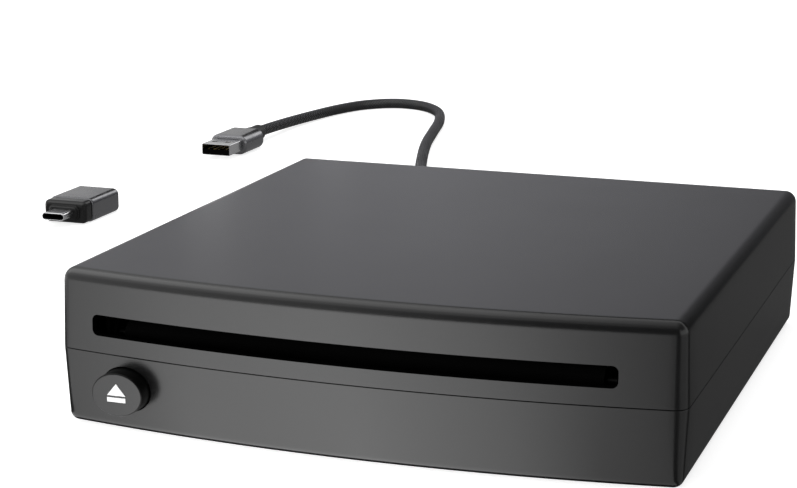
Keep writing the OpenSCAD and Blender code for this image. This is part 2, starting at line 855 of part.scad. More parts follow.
module dampers() {
  color([0.1, 0.1, 0.1]) at_drive_mounts() difference() {
    rod_z(post_top, base_z, 0, 0, damper_d);
    rod_z(post_top - 1, base_z + 1, 0, 0, small_screw_d + clear);
  }
}

module drive_screws() {
  color([0.7, 0.7, 0.7]) at_drive_mounts()
    screw_down(base_top, damper_h + sheet + post_bite, small_screw_d, small_head_d + 1, small_head_h);
}

// Upper guide over the roller, with a notch and two cheeks for the disc sensor's lever
module disc_guide() {
  low = slot_z + guide_gap;
  color([0.1, 0.1, 0.11]) at_drive() difference() {
    union() {
      block(-roller_l / 2, roller_l / 2, drive_y, base_front, low, wall_top);
      block(-cheek_w / 2, cheek_w / 2, base_front - 1, base_front + cheek_l, slot_z + cheek_gap, wall_top);
    }
    block(guide_end - roller_l / 2, roller_l / 2 - guide_end, drive_y - 1, base_front + 1,
          low - 1, low + guide_relief);
    block(-lever_w / 2 - clear, lever_w / 2 + clear, drive_y - 1, base_front + cheek_l + 1,
          low - 1, wall_top - guide_cap);
    rod_x(-cheek_w, cheek_w, lever_y, lever_z, lever_pin_d + 2 * play);
  }
}

// Lever that a disc lifts on its way in
module sensor_lever() {
  tip = [drive_y + lever_tip, slot_z + 1];
  color([0.22, 0.22, 0.23]) at_drive() {
    along_x(-lever_w / 2, lever_w / 2) {
      long_hole([lever_y, lever_z], tip, lever_t);
      translate([lever_y, lever_z]) circle(d = lever_hub_d);
    }
    rod_x(-lever_pin_l / 2, lever_pin_l / 2, lever_y, lever_z, lever_pin_d);
  }
}

module loading_roller() {
  color([0.15, 0.15, 0.15]) at_drive() difference() {
    rod_x(-roller_l / 2, roller_l / 2, roller_y, roller_z, roller_d);
    rod_x(-roller_l / 2 - 1, roller_l / 2 + 1, roller_y, roller_z, roller_shaft_d + press);
  }
}

module roller_shaft() {
  color([0.75, 0.75, 0.76]) at_drive()
    rod_x(-hw - shaft_end, gear_x + gear_w, roller_y, roller_z, roller_shaft_d);
}

module roller_bushes() {
  color([0.85, 0.8, 0.7]) at_drive() for (s = [-1, 1]) translate([s * (hw - sheet / 2), 0, 0]) difference() {
    rod_x(-bush_l / 2, bush_l / 2, roller_y, roller_z, bush_d);
    rod_x(-bush_l, bush_l, roller_y, roller_z, roller_shaft_d + 2 * play);
  }
}

module roller_gear() {
  color([0.9, 0.9, 0.85]) at_drive() gear(roller_teeth, roller_y, roller_z, angle_1, roller_shaft_d + press);
}

module idler_gear() {
  color([0.9, 0.9, 0.85]) at_drive() gear(idler_teeth, idler_y, idler_z, idler_turn, stud_d + 2 * play);
}

module idler_stud() {
  head_x = gear_x + gear_w + 0.2;
  color([0.75, 0.75, 0.76]) at_drive() {
    rod_x(hw - sheet, head_x + 0.1, idler_y, idler_z, stud_d);
    rod_x(head_x, head_x + stud_head_h, idler_y, idler_z, stud_head_d);
  }
}

module motor_pinion() {
  color([0.85, 0.75, 0.4]) at_drive() {
    gear(pinion_teeth, motor_y, motor_z, pinion_turn, motor_shaft_d - press);
    rod_x(hw - sheet - motor_shaft_l, gear_x + gear_w, motor_y, motor_z, motor_shaft_d);
  }
}

module loading_motor() {
  color([0.7, 0.71, 0.73]) at_drive() difference() {
    rod_x(hw - sheet - motor_l, hw - sheet, motor_y, motor_z, motor_d);
    rod_x(hw - sheet - motor_shaft_l - 0.5, hw, motor_y, motor_z, motor_shaft_d + 2 * play);
  }
}

// Plate that slides along the deck's right side; its two slanted slots lift the deck's pins
module cam_slider() {
  rise = [-cam_travel, lift];
  color([0.88, 0.86, 0.8]) at_drive() along_x(cam_x, cam_x + cam_t) difference() {
    translate([pin_y1 - cam_travel - cam_end, base_top + play])
      square([pin_y2 - pin_y1 + cam_travel + 2 * cam_end - 1, pin_z + lift + cam_cap - base_top - play]);
    for (y = [pin_y1, pin_y2]) long_hole([y, pin_z], [y, pin_z] + rise, pin_d + 2 * clear);
  }
}

module traverse_deck() {
  color([0.6, 0.61, 0.63]) at_drive() difference() {
    union() {
      block(-deck_hw, deck_hw, deck_front, deck_back, deck_z, deck_z + deck_t);
      for (y = [bracket_y, deck_back - bracket_t])
        block(-rail_x - bracket_lap, screw_x + bracket_lap, y, y + bracket_t, bracket_z, deck_z + 0.01);
      for (s = [-1, 1], y = [pin_y1, pin_y2])
        translate([s * (deck_hw - bracket_t / 2), y, 0])
          block(-bracket_t / 2, bracket_t / 2, -pin_ear, pin_ear, pin_z - pin_d, deck_z + 0.01);
      for (y = [pin_y1, pin_y2]) {
        rod_x(-guide_x - sheet - pin_end, -deck_hw + 0.01, y, pin_z, pin_d);
        rod_x(deck_hw - 0.01, guide_x + sheet + pin_end, y, pin_z, pin_d);
      }
    }
    block(-sled_hw - 1, sled_hw + 1, bracket_y + bracket_t, deck_back - bracket_t,
          deck_z - 1, deck_z + deck_t + 1);
    rod_z(deck_z - 1, deck_z + deck_t + 1, 0, spindle_y, spindle_d + 2);
    for (x = [-rail_x, rail_x]) rod_y(bracket_y - 1, deck_back + 1, x, rail_z, rail_d + 2 * play);
    rod_y(bracket_y - 1, deck_back + 1, screw_x, screw_z, lead_screw_d + 2 * play);
  }
}

module spindle_motor() {
  color([0.55, 0.56, 0.58]) at_drive() difference() {
    rod_z(deck_z - spindle_motor_h, deck_z, 0, spindle_y, spindle_motor_d);
    rod_z(deck_z - spindle_l - 0.5, deck_z + 1, 0, spindle_y, spindle_d + 2 * play);
  }
}

module turntable() {
  color([0.16, 0.16, 0.17]) at_drive() translate([0, spindle_y, 0]) {
    rod_z(table_z - table_t, table_z, 0, 0, table_d);
    rod_z(table_z - 0.01, table_z + hub_h - hub_cone, 0, 0, hub_d);
    translate([0, 0, table_z + hub_h - hub_cone]) cylinder(d1 = hub_d, d2 = hub_d - 1.6, h = hub_cone);
    rod_z(deck_z - spindle_l, table_z - table_t + 0.01, 0, 0, spindle_d);
  }
}

module guide_rails() {
  color([0.78, 0.78, 0.8]) at_drive() for (x = [-rail_x, rail_x])
    rod_y(bracket_y, deck_back, x, rail_z, rail_d);
}

module lead_screw() {
  color([0.75, 0.75, 0.77]) at_drive()
    rod_y(bracket_y - lead_screw_in, deck_back - 0.2, screw_x, screw_z, lead_screw_d);
}

module sled_motor() {
  color([0.7, 0.71, 0.73]) at_drive() difference() {
    rod_y(bracket_y - sled_motor_l, bracket_y, screw_x, screw_z, sled_motor_d);
    rod_y(bracket_y - lead_screw_in - 0.5, bracket_y + 1, screw_x, screw_z, lead_screw_d + 2 * play);
  }
}

module pickup_sled() {
  y0 = sled_y - sled_half;
  y1 = sled_y + sled_half;
  color([0.2, 0.2, 0.22]) at_drive() difference() {
    union() {
      block(-sled_hw, sled_hw, y0, y1, sled_bottom, sled_top);
      block(-rail_x - sled_lap, rail_x + sled_lap, y0, y1, sled_bottom, deck_z - clear);
      block(rail_x, screw_x + nut_r, sled_y - nut_half, sled_y + nut_half,
            screw_z - nut_r + 0.5, sled_bottom + 1.5);
    }
    for (x = [-rail_x, rail_x]) rod_y(y0 - 1, y1 + 1, x, rail_z, rail_d + 2 * play);
    rod_y(y0 - 1, y1 + 1, screw_x, screw_z, lead_screw_d + 2 * play);
  }
}

module pickup_lens() {
  color([0.5, 0.6, 0.75]) at_drive() translate([0, sled_y, sled_top]) {
    cylinder(d = lens_d, h = lens_h / 2);
    translate([0, 0, lens_h / 2 - 0.01]) cylinder(d1 = lens_d * 0.73, d2 = lens_d / 2, h = lens_h / 2);
  }
}

module clamp_arm() {
  color([0.68, 0.69, 0.7]) at_drive() difference() {
    union() {
      rod_z(arm_z, arm_z + arm_t, 0, spindle_y, puck_d + 2 * arm_rim);
      block(-arm_w / 2, arm_w / 2, spindle_y, clamp_y, arm_z, arm_z + arm_t);
      rod_x(-barrel_l / 2, barrel_l / 2, clamp_y, clamp_z, barrel_d);
    }
    rod_z(arm_z - 1, arm_z + arm_t + 1, 0, spindle_y, neck_d + 1);
    rod_x(-barrel_l, barrel_l, clamp_y, clamp_z, clamp_pin_d + 2 * play);
  }
}

module clamp_pin() {
  color([0.75, 0.75, 0.77]) at_drive()
    rod_x(-barrel_l / 2 - clamp_pin_end, barrel_l / 2 + clamp_pin_end, clamp_y, clamp_z, clamp_pin_d);
}

module clamp_puck() {
  color([0.16, 0.16, 0.17]) at_drive() translate([0, spindle_y, 0]) difference() {
    union() {
      rod_z(puck_z, puck_z + puck_t, 0, 0, puck_d);
      rod_z(puck_z + puck_t - 0.01, arm_z + arm_t + 0.2, 0, 0, neck_d);
      rod_z(arm_z + arm_t + 0.1, arm_z + arm_t + 0.1 + puck_flange_t, 0, 0, puck_flange_d);
    }
    rod_z(puck_z - 1, puck_z + puck_recess, 0, 0, hub_d + 2);
  }
}

// Rubber gland in the back wall: a flange each side of the wall, and a tapered relief outside
module cord_gland() {
  color([0.07, 0.07, 0.07]) {
    rod_y(gland_in_y, gland_out_y + 1, lead_x, lead_z, gland_neck);
    rod_y(gland_in_y, gland_in_y + gland_in_t, lead_x, lead_z, gland_in_d);
    rod_y(gland_out_y, gland_out_y + gland_flange_t, lead_x, lead_z, gland_flange_d);
    translate([lead_x, relief_y - relief_l - 0.01, lead_z]) rotate([-90, 0, 0])
      cylinder(d1 = gland_neck + 1, d2 = cord_d + 0.8, h = relief_l + 0.01);
  }
}

// Smooth line through the route's points
function spline_point(p, i, t) =
  let (a = p[max(i - 1, 0)], b = p[i], c = p[i + 1], d = p[min(i + 2, len(p) - 1)])
  0.5 * (2 * b + (c - a) * t + (2 * a - 5 * b + 4 * c - d) * t * t + (3 * b - a - 3 * c + d) * t * t * t);

function unit(v) = v / norm(v);

module braided_cord() {
  last = len(cord_route) - 1;
  line = concat([for (i = [0:last - 1], k = [0:cord_steps - 1]) spline_point(cord_route, i, k / cord_steps)],
                [cord_route[last]]);
  n = len(line) - 1;
  rings = [for (i = [0:n]) let (
      ahead = i == 0 ? [0, 1, 0] : i == n ? [0, -1, 0] : unit(line[i + 1] - line[i - 1]),
      side = unit(cross(ahead, [0, 0, 1])),
      up = cross(side, ahead)
    )
    [for (k = [0:cord_sides - 1]) let (a = -360 * k / cord_sides)
      line[i] + cord_d / 2 * (cos(a) * side + sin(a) * up)]];
  color([0.1, 0.1, 0.1]) skin(rings);
}

module plug_boot() {
  color([0.07, 0.07, 0.07]) translate([plug_x, 0, axis_z]) {
    along_y(boot_y, boot_y + boot_root) rounded(boot_w, boot_t, boot_r);
    translate([0, boot_y + boot_root - 0.01, 0]) rotate([-90, 0, 0])
      cylinder(d = boot_d, h = boot_l - boot_root + 0.01);
  }
}

module plug_housing() {
  color([0.3, 0.3, 0.32]) translate([plug_x, 0, axis_z]) difference() {
    along_y(housing_y, boot_y) rounded(plug_w, plug_t, housing_r);
    along_y(housing_y - 1, housing_y + shell_in) square([shell_w, shell_t], center = true);
  }
}

// Folded metal shell with two square windows above and two below
module plug_shell() {
  color([0.8, 0.8, 0.81]) translate([plug_x, 0, axis_z]) difference() {
    along_y(plug_y, housing_y + shell_in) square([shell_w, shell_t], center = true);
    along_y(plug_y - 1, housing_y + shell_in - shell_wall)
      square([shell_w - 2 * shell_wall, shell_t - 2 * shell_wall], center = true);
    for (x = [-window_x, window_x])
      block(x - window_w / 2, x + window_w / 2, plug_y + window_y0, plug_y + window_y1, -shell_t, shell_t);
  }
}

module plug_tongue() {
  low = -shell_t / 2 + shell_wall;
  color([0.08, 0.08, 0.09]) translate([plug_x, 0, axis_z])
    block(-shell_w / 2 + shell_wall, shell_w / 2 - shell_wall,
          plug_y + tongue_in, housing_y + shell_in - shell_wall, low, low + tongue_t);
}

module plug_contacts() {
  low = -shell_t / 2 + shell_wall + tongue_t;
  color([0.85, 0.7, 0.35]) translate([plug_x, 0, axis_z])
    for (x = [-3.5, -1, 1, 3.5])
      block(x - contact_w / 2, x + contact_w / 2, plug_y + contact_y0, plug_y + contact_y1,
            low, low + contact_t);
}

module adapter_bore() {
  rounded(adapter_w - 2 * sleeve_wall, adapter_t - 2 * sleeve_wall, sleeve_r - sleeve_wall);
}

module socket_outside() {
  square([socket_w + 2 * shell_wall, socket_t + 2 * shell_wall], center = true);
}

module adapter_sleeve() {
  color([0.32, 0.32, 0.34]) translate([plug_x, 0, axis_z]) difference() {
    along_y(sleeve_y, mouth_y) rounded(adapter_w, adapter_t, sleeve_r);
    along_y(sleeve_y - 1, mouth_y + 1) adapter_bore();
  }
}

module adapter_core() {
  color([0.08, 0.08, 0.08]) translate([plug_x, 0, axis_z]) difference() {
    along_y(sleeve_y, mouth_y) adapter_bore();
    along_y(mouth_y - socket_l - shell_wall, mouth_y + 1) socket_outside();
  }
}

module tip_outside() {
  rounded(tip_w, tip_t, tip_t / 2 - 0.01);
}

module tip_inside() {
  rounded(tip_w - 2 * tip_wall, tip_t - 2 * tip_wall, tip_t / 2 - tip_wall - 0.01);
}

module adapter_nose() {
  color([0.06, 0.06, 0.06]) translate([plug_x, 0, axis_z]) difference() {
    union() {
      along_y(nose_y, sleeve_y)
        rounded(adapter_w - 2 * nose_step, adapter_t - 2 * nose_step, sleeve_r - nose_step);
      along_y(nose_y - collar_l, nose_y + 0.01) rounded(collar_w, collar_t, collar_r);
    }
    along_y(nose_y - collar_l - 1, sleeve_y - tip_root) tip_outside();
  }
}

module adapter_tip() {
  color([0.82, 0.82, 0.83]) translate([plug_x, 0, axis_z]) difference() {
    along_y(adapter_y, sleeve_y - tip_root) tip_outside();
    along_y(adapter_y - 1, sleeve_y - tip_root - tip_wall) tip_inside();
  }
}

module tip_tongue() {
  color([0.1, 0.1, 0.1]) translate([plug_x, 0, axis_z]) difference() {
    along_y(adapter_y + 2 * tip_wall, sleeve_y - tip_root - tip_wall) tip_inside();
    along_y(adapter_y - 1, adapter_y + tip_l - 2 * tip_wall)
      square([tip_w - 2 * tip_gap, tip_gap], center = true);
  }
}

module socket_shell() {
  color([0.75, 0.75, 0.76]) translate([plug_x, 0, axis_z]) difference() {
    along_y(mouth_y - socket_l - shell_wall, mouth_y) socket_outside();
    along_y(mouth_y - socket_l, mouth_y + 1) square([socket_w, socket_t], center = true);
  }
}

module socket_tongue() {
  high = shell_t / 2 - shell_wall - clear / 2;
  color([0.08, 0.08, 0.09]) translate([plug_x, 0, axis_z])
    block(-shell_w / 2 + 2 * shell_wall, shell_w / 2 - 2 * shell_wall,
          mouth_y - socket_l, mouth_y - socket_lip, high - tongue_t + shell_wall, high);
}

top_cover();
bottom_case();
rubber_feet();
case_screws();
eject_button();
button_symbol();
switch_plunger();
eject_switch();
main_board();
board_chips();
board_capacitors();
board_screws();
lead_header();
lead_tail();
flat_cable();
cable_socket();
drive_chassis();
drive_cover();
cover_screws();
dampers();
drive_screws();
disc_guide();
sensor_lever();
loading_roller();
roller_shaft();
roller_bushes();
roller_gear();
idler_gear();
idler_stud();
motor_pinion();
loading_motor();
cam_slider();
traverse_deck();
spindle_motor();
turntable();
guide_rails();
lead_screw();
sled_motor();
pickup_sled();
pickup_lens();
clamp_arm();
clamp_pin();
clamp_puck();
cord_gland();
braided_cord();
plug_boot();
plug_housing();
plug_shell();
plug_tongue();
plug_contacts();
adapter_sleeve();
adapter_core();
adapter_nose();
adapter_tip();
tip_tongue();
socket_shell();
socket_tongue();
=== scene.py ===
# %% [markdown]
# # A slot-loading disc player with its lead and its adapter
#
# This lesson dresses a finished CAD model in Blender. The CAD gives every piece its place and size,
# so nothing is fitted by eye: new surfaces are worked out from the same measurements, in millimetres,
# and only turned into metres when they become a mesh.

import json
import math

import bpy
import numpy as np
from mathutils import Matrix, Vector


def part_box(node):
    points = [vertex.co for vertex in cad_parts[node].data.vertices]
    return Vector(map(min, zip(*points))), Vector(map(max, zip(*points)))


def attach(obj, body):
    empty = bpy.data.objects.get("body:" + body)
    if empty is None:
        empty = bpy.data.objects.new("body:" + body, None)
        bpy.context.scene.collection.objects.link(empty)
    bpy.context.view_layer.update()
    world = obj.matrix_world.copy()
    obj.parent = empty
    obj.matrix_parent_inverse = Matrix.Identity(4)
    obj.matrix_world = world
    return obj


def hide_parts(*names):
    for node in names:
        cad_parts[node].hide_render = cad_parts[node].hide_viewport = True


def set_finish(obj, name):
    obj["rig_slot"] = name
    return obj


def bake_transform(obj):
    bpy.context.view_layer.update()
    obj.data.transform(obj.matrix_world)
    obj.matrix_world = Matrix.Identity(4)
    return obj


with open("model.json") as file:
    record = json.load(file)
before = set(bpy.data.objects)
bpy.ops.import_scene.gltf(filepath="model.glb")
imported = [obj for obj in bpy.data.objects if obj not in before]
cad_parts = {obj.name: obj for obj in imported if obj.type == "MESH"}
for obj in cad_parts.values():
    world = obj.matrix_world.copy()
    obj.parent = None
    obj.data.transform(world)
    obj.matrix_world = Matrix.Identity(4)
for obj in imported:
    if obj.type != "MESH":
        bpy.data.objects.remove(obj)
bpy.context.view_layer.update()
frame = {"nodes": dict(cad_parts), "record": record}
nodes = frame["nodes"]
scene = bpy.context.scene
MM = 0.001

# %% [markdown]
# ## The camera
#
# The view was worked out from the straight edges of the case: the camera stands to the right of the
# slotted front, a little above it, and close enough for a strong perspective. The picture is 797 pixels
# wide, so a focal length in pixels becomes a lens in millimetres by one proportion. The middle of the view
# lies a little beside the middle of the picture, which is what the lens shift is for.

# %% Camera
PICTURE_W = 797
FOCAL_PX = 2024.0
SIDE_PX = 40
SENSOR_W = 36
VIEW_AZIMUTH, VIEW_ELEVATION, VIEW_ROLL = 18.66, 13.28, 0.17
VIEW_TARGET = np.array([0, 0, 20.3])
VIEW_DISTANCE, VIEW_ASIDE, VIEW_RAISED = 519.07, -4.68, 13.07


def view_axes(azimuth, elevation, roll):
    """Right, up and back of a camera: back points from the object to the lens, right is level, and roll
    turns right and up about back."""
    a, e, r = np.radians([azimuth, elevation, roll])
    back = np.array([np.sin(a) * np.cos(e), -np.cos(a) * np.cos(e), np.sin(e)])
    right = np.cross(-back, [0, 0, 1])
    right /= np.linalg.norm(right)
    up = np.cross(back, right)
    return np.cos(r) * right + np.sin(r) * up, np.cos(r) * up - np.sin(r) * right, back


right, up, back = view_axes(VIEW_AZIMUTH, VIEW_ELEVATION, VIEW_ROLL)
place = VIEW_TARGET + back * VIEW_DISTANCE + right * VIEW_ASIDE + up * VIEW_RAISED
lens = bpy.data.cameras.new("photo_view")
lens.sensor_width = SENSOR_W
lens.lens = SENSOR_W * FOCAL_PX / PICTURE_W
lens.shift_x = -SIDE_PX / PICTURE_W
camera = bpy.data.objects.new("photo_view", lens)
stand = np.eye(4)
stand[:3] = np.column_stack([right, up, back, place * MM])
camera.matrix_world = Matrix(stand.tolist())
scene.collection.objects.link(camera)
scene.camera = camera
scene.view_settings.view_transform = "Standard"
print("lens", round(lens.lens, 1), "mm, camera at", np.round(place, 1), "mm")

# %% [markdown]
# ## From numbers to a mesh
#
# Nearly every piece here is a skin through closed rings of points: a tube is a circle carried along a line,
# a moulded shell is an outline carried up a wall. One helper joins neighbouring rings with quads and caps
# the ends, and turns the faces outward by the sign of the volume they enclose. Another makes the object,
# hangs it on the CAD body it moves with, names its finish, and hides the CAD nodes it stands for.

# %% Rings and skins
def ring_quads(rings, points, closed=False):
    """Quads between neighbouring rings of a grid whose columns close on themselves, and whose last ring
    also joins the first where closed."""
    i = np.arange(rings if closed else rings - 1)[:, None]
    j = np.arange(points)[None, :]
    k = (j + 1) % points
    n = (i + 1) % rings
    return np.stack([i * points + j, i * points + k, n * points + k, n * points + j], -1).reshape(-1, 4)


def skin(rings, closed=False):
    """Points and faces of the solid inside a grid of rings (rings x points x xyz): quads between
    neighbours and a flat cap on each end. Volume is a sixth of the sum of the triple products of the
    triangles, and a negative one means that every face has to be turned."""
    rings = np.asarray(rings, float)
    count, points = rings.shape[:2]
    verts = rings.reshape(-1, 3)
    quads = ring_quads(count, points, closed)
    first, last = np.arange(points), np.arange((count - 1) * points, count * points)
    caps = [] if closed else [first[::-1], last]
    about = verts - verts.mean(0)
    a, b, c, d = (about[quads[:, n]] for n in range(4))
    volume = np.sum(a * (np.cross(b, c) + np.cross(c, d)))
    for cap in caps:
        p = about[cap]
        volume += np.sum(p.mean(0) * np.cross(p, np.roll(p, -1, 0)))
    faces = quads.tolist() + [cap.tolist() for cap in caps]
    return verts, faces if volume > 0 else [face[::-1] for face in faces]


def several(*skins):
    """Several separate solids as one list of points and faces, each one's numbers raised past the last."""
    start = np.cumsum([0] + [len(v) for v, f in skins])
    faces = [[n + s for n in face] for (v, f), s in zip(skins, start) for face in f]
    return np.concatenate([v for v, f in skins]), faces


print("quads between three rings of eight points:", len(ring_quads(3, 8)))

# %% Meshes and pieces
def make_mesh(name, verts, faces, sharp=35):
    """A mesh in metres from points in millimetres, smooth except across edges sharper than an angle."""
    mesh = bpy.data.meshes.new(name)
    mesh.from_pydata((np.asarray(verts) * MM).tolist(), [], faces)
    mesh.shade_smooth()
    mesh.set_sharp_from_angle(angle=math.radians(sharp))
    return mesh


pieces = {}


def make_piece(name, solid, body, slot, *stands_for, sharp=35):
    """An object at the origin from points and faces, in place of some CAD nodes, riding on a body if one is
    named."""
    piece = bpy.data.objects.new(name, make_mesh(name, *solid, sharp=sharp))
    scene.collection.objects.link(piece)
    if body:
        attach(piece, body)
    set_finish(piece, slot)
    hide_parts(*stands_for)
    pieces[name] = piece
    low, high = np.min(solid[0], 0), np.max(solid[0], 0)
    print(name, len(solid[1]), "faces,", np.round(high - low, 1), "mm")
    return piece


# %% [markdown]
# ## The braided lead
#
# The lead is a fixed length of cord in a woven sleeve, so its line comes first: the same points as in the
# CAD, joined by a smooth curve. It leaves the back of the case level, sinks to the table and comes round in
# one loose bend to the plug. The sleeve could be a picture on a plain tube, but its strands catch the light
# one by one, so the weave is raised in the mesh itself.

# %% The lead's line
CORD_D = 4.5
LEAD_X, LEAD_Z = -45.0, 6.5
RELIEF_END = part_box("cord_gland")[1].y / MM
CORD_ROUTE = np.array([
    [0, 0, 6.5], [0, 4, 6.4], [-1, 12, 5.3], [-3, 22, 3.7], [-6, 34, 2.6], [-11, 50, 2.3], [-18, 70, 2.3],
    [-27, 94, 2.3], [-37, 120, 2.3], [-47, 148, 2.3], [-56, 176, 2.3], [-64, 204, 2.3], [-70, 230, 2.3],
    [-76, 256, 2.3], [-84, 278, 2.3], [-96, 292, 2.3], [-110, 295, 2.3], [-122, 286, 2.3], [-129, 270, 2.3],
    [-133, 250, 2.5], [-135, 230, 3], [-135, 212, 3.8], [-135, 202, 4.1], [-135, 197, 4.1],
]) + [LEAD_X, RELIEF_END, 0]


def smooth_line(points, steps):
    """A smooth line through points: at each one it runs along the chord of the neighbours on each side, and
    between two it is a cubic in the share t of the way, taken at a number of steps per span."""
    p = np.vstack([points[:1], points, points[-1:]])
    a, b, c, d = (p[n : len(p) - 3 + n][:, None] for n in range(4))
    t = (np.arange(steps) / steps)[None, :, None]
    line = 0.5 * (2 * b + (c - a) * t + (2 * a - 5 * b + 4 * c - d) * t**2 + (3 * b - a - 3 * c + d) * t**3)
    return np.vstack([line.reshape(-1, 3), points[-1:]])


def along(line):
    """Distance run along a line of points."""
    return np.concatenate([[0], np.cumsum(np.linalg.norm(np.diff(line, axis=0), axis=1))])


def even(line, step):
    """The same line with points an even step apart, each at its share of the way between two old ones."""
    run = along(line)
    at = np.linspace(0, run[-1], int(round(run[-1] / step)) + 1)
    return np.column_stack([np.interp(at, run, line[:, n]) for n in range(3)])


SPAN_STEPS, RING_GAP = 24, 0.38
cord_line = even(smooth_line(CORD_ROUTE, SPAN_STEPS), RING_GAP)
cord_run = along(cord_line)
print("lead", round(cord_run[-1], 1), "mm long,", len(cord_line), "rings")

# %% [markdown]
# Two sets of strands wind round the core in opposite directions and pass over and under each other. With
# the turn round the cord and the distance along it, each set has its own coordinate; where the whole parts
# of the two add up to an even number, the first set is on top. The height is a rounded ridge across the
# strand that dips where it goes under.

# %% The woven sleeve
STRANDS = 10
WEAVE_CELL = 1.5
WEAVE_RELIEF = 0.24
CORD_SIDES = 50


def sweep_axes(line):
    """Side and up of a line that never stands upright: side is level, and up is square to side and line."""
    ahead = np.gradient(line, axis=0)
    ahead /= np.linalg.norm(ahead, axis=1)[:, None]
    side = np.cross(ahead, [0, 0, 1])
    side /= np.linalg.norm(side, axis=1)[:, None]
    return side, np.cross(side, ahead)


def weave_height(turn, run):
    """Height of the weave from 0 to 1: across the upper strand a half sine to the power of a half, along it
    a shallow half sine."""
    a = STRANDS * turn + run / WEAVE_CELL
    b = STRANDS * turn - run / WEAVE_CELL
    first = (np.floor(a) + np.floor(b)) % 2 == 0
    across, length = np.where(first, a, b) % 1, np.where(first, b, a) % 1
    return np.sqrt(np.sin(np.pi * across)) * (0.5 + 0.5 * np.sin(np.pi * length))


turn = (np.arange(CORD_SIDES) / CORD_SIDES)[None, :]
cord_side, cord_up = sweep_axes(cord_line)
radius = CORD_D / 2 - WEAVE_RELIEF * (1 - weave_height(turn, cord_run[:, None]))
angle = -2 * np.pi * turn[..., None]
cord_rings = cord_line[:, None] + radius[..., None] * (
    np.cos(angle) * cord_side[:, None] + np.sin(angle) * cord_up[:, None]
)
lead = make_piece("woven_lead", skin(cord_rings), "case", "braid", "braided_cord", sharp=180)

# %% [markdown]
# The shader needs the same two coordinates to colour strand by strand, so they go into a UV map: the turn
# round the cord, and the distance along it. Each quad stores its four corners, and the last column runs on
# to a whole turn so that the pattern closes.

# %% UV map of the sleeve
quads = (len(cord_line) - 1) * CORD_SIDES
corner_vert = np.empty(len(lead.data.loops), int)
lead.data.loops.foreach_get("vertex_index", corner_vert)
corner_turn = (corner_vert % CORD_SIDES) / CORD_SIDES
corner_run = cord_run[corner_vert // CORD_SIDES]
by_quad = corner_turn[: 4 * quads].reshape(-1, 4)
wraps = (by_quad.max(1) - by_quad.min(1) > 0.5)[:, None] & (by_quad < 0.5)
corner_turn[: 4 * quads] = (by_quad + wraps).reshape(-1)
sleeve_uv = lead.data.uv_layers.new(name="sleeve")
sleeve_uv.data.foreach_set("uv", np.column_stack([corner_turn, corner_run]).astype(np.float32).ravel())
print("sleeve UV runs to", round(corner_run.max(), 1), "mm")

# %% [markdown]
# ## Gland and boot
#
# A soft moulded sleeve holds the lead at each end: the gland in the back wall with its collar and taper,
# and the boot behind the plug. The gland is a profile of distance and radius turned about the lead's line,
# with small grooves between the rings that let rubber bend. The boot can't be turned, because it changes from a
# rounded rectangle to a circle on its way, so it is a row of outlines that flare out to the plug in a hollow
# curve.

# %% Outlines
def rounded_outline(width, height, radius, steps=8):
    """A rectangle with round corners, centred: four quarter circles in order, joined by the straight
    sides. Returns points x 2."""
    angle = np.radians(np.linspace(0, 90, steps + 1))[None, :] + np.radians([0, 90, 180, 270])[:, None]
    centre_x = (width / 2 - radius) * np.array([1, -1, -1, 1])[:, None]
    centre_y = (height / 2 - radius) * np.array([1, 1, -1, -1])[:, None]
    return np.stack([centre_x + radius * np.cos(angle), centre_y + radius * np.sin(angle)], -1).reshape(-1, 2)


def oval_outline(width, height, steps=72):
    """An ellipse, centred: half the width times the cosine of an even angle, and half the height times its
    sine."""
    angle = np.linspace(0, 2 * np.pi, steps, endpoint=False)
    return np.column_stack([width / 2 * np.cos(angle), height / 2 * np.sin(angle)])


print("outline of 8 steps a corner:", len(rounded_outline(10, 5, 1)), "points")

# %% Turned and rounded profiles
UNDER_HALF = 1 / 2.2


def rings_along_y(outlines, at, x, z):
    """Outlines x points x 2, each stood across the Y axis at its own distance, about a line at x and z."""
    outlines = np.asarray(outlines)
    at = np.broadcast_to(np.asarray(at, float)[:, None], outlines.shape[:2])
    return np.stack([x + outlines[..., 0], at, z + outlines[..., 1]], -1)


def turned_along_y(profile, x, z, steps=48):
    """A profile of distance along Y and radius, turned about a line at x and z."""
    profile = np.asarray(profile, float)
    circle = oval_outline(2, 2, steps)
    return rings_along_y(profile[:, 1, None, None] * circle[None], profile[:, 0], x, z)


def round_profile(profile, radius, steps=4):
    """The same profile with each inner corner replaced by a short curve: a quadratic that starts and ends
    a radius away from the corner, or a little under half the way to the neighbour where that is less."""
    p = np.asarray(profile, float)
    before, corner, after = p[:-2], p[1:-1], p[2:]
    gap_in = np.linalg.norm(before - corner, axis=1)[:, None]
    gap_out = np.linalg.norm(after - corner, axis=1)[:, None]
    start = corner + (before - corner) / gap_in * np.minimum(radius, gap_in * UNDER_HALF)
    end = corner + (after - corner) / gap_out * np.minimum(radius, gap_out * UNDER_HALF)
    t = np.linspace(0, 1, steps + 1)[None, :, None]
    curve = (1 - t) ** 2 * start[:, None] + 2 * t * (1 - t) * corner[:, None] + t**2 * end[:, None]
    return np.vstack([p[:1], curve.reshape(-1, 2), p[-1:]])


print("a rounded corner becomes", len(round_profile([[0, 0], [1, 0], [1, 1]], 0.3)) - 2, "points")

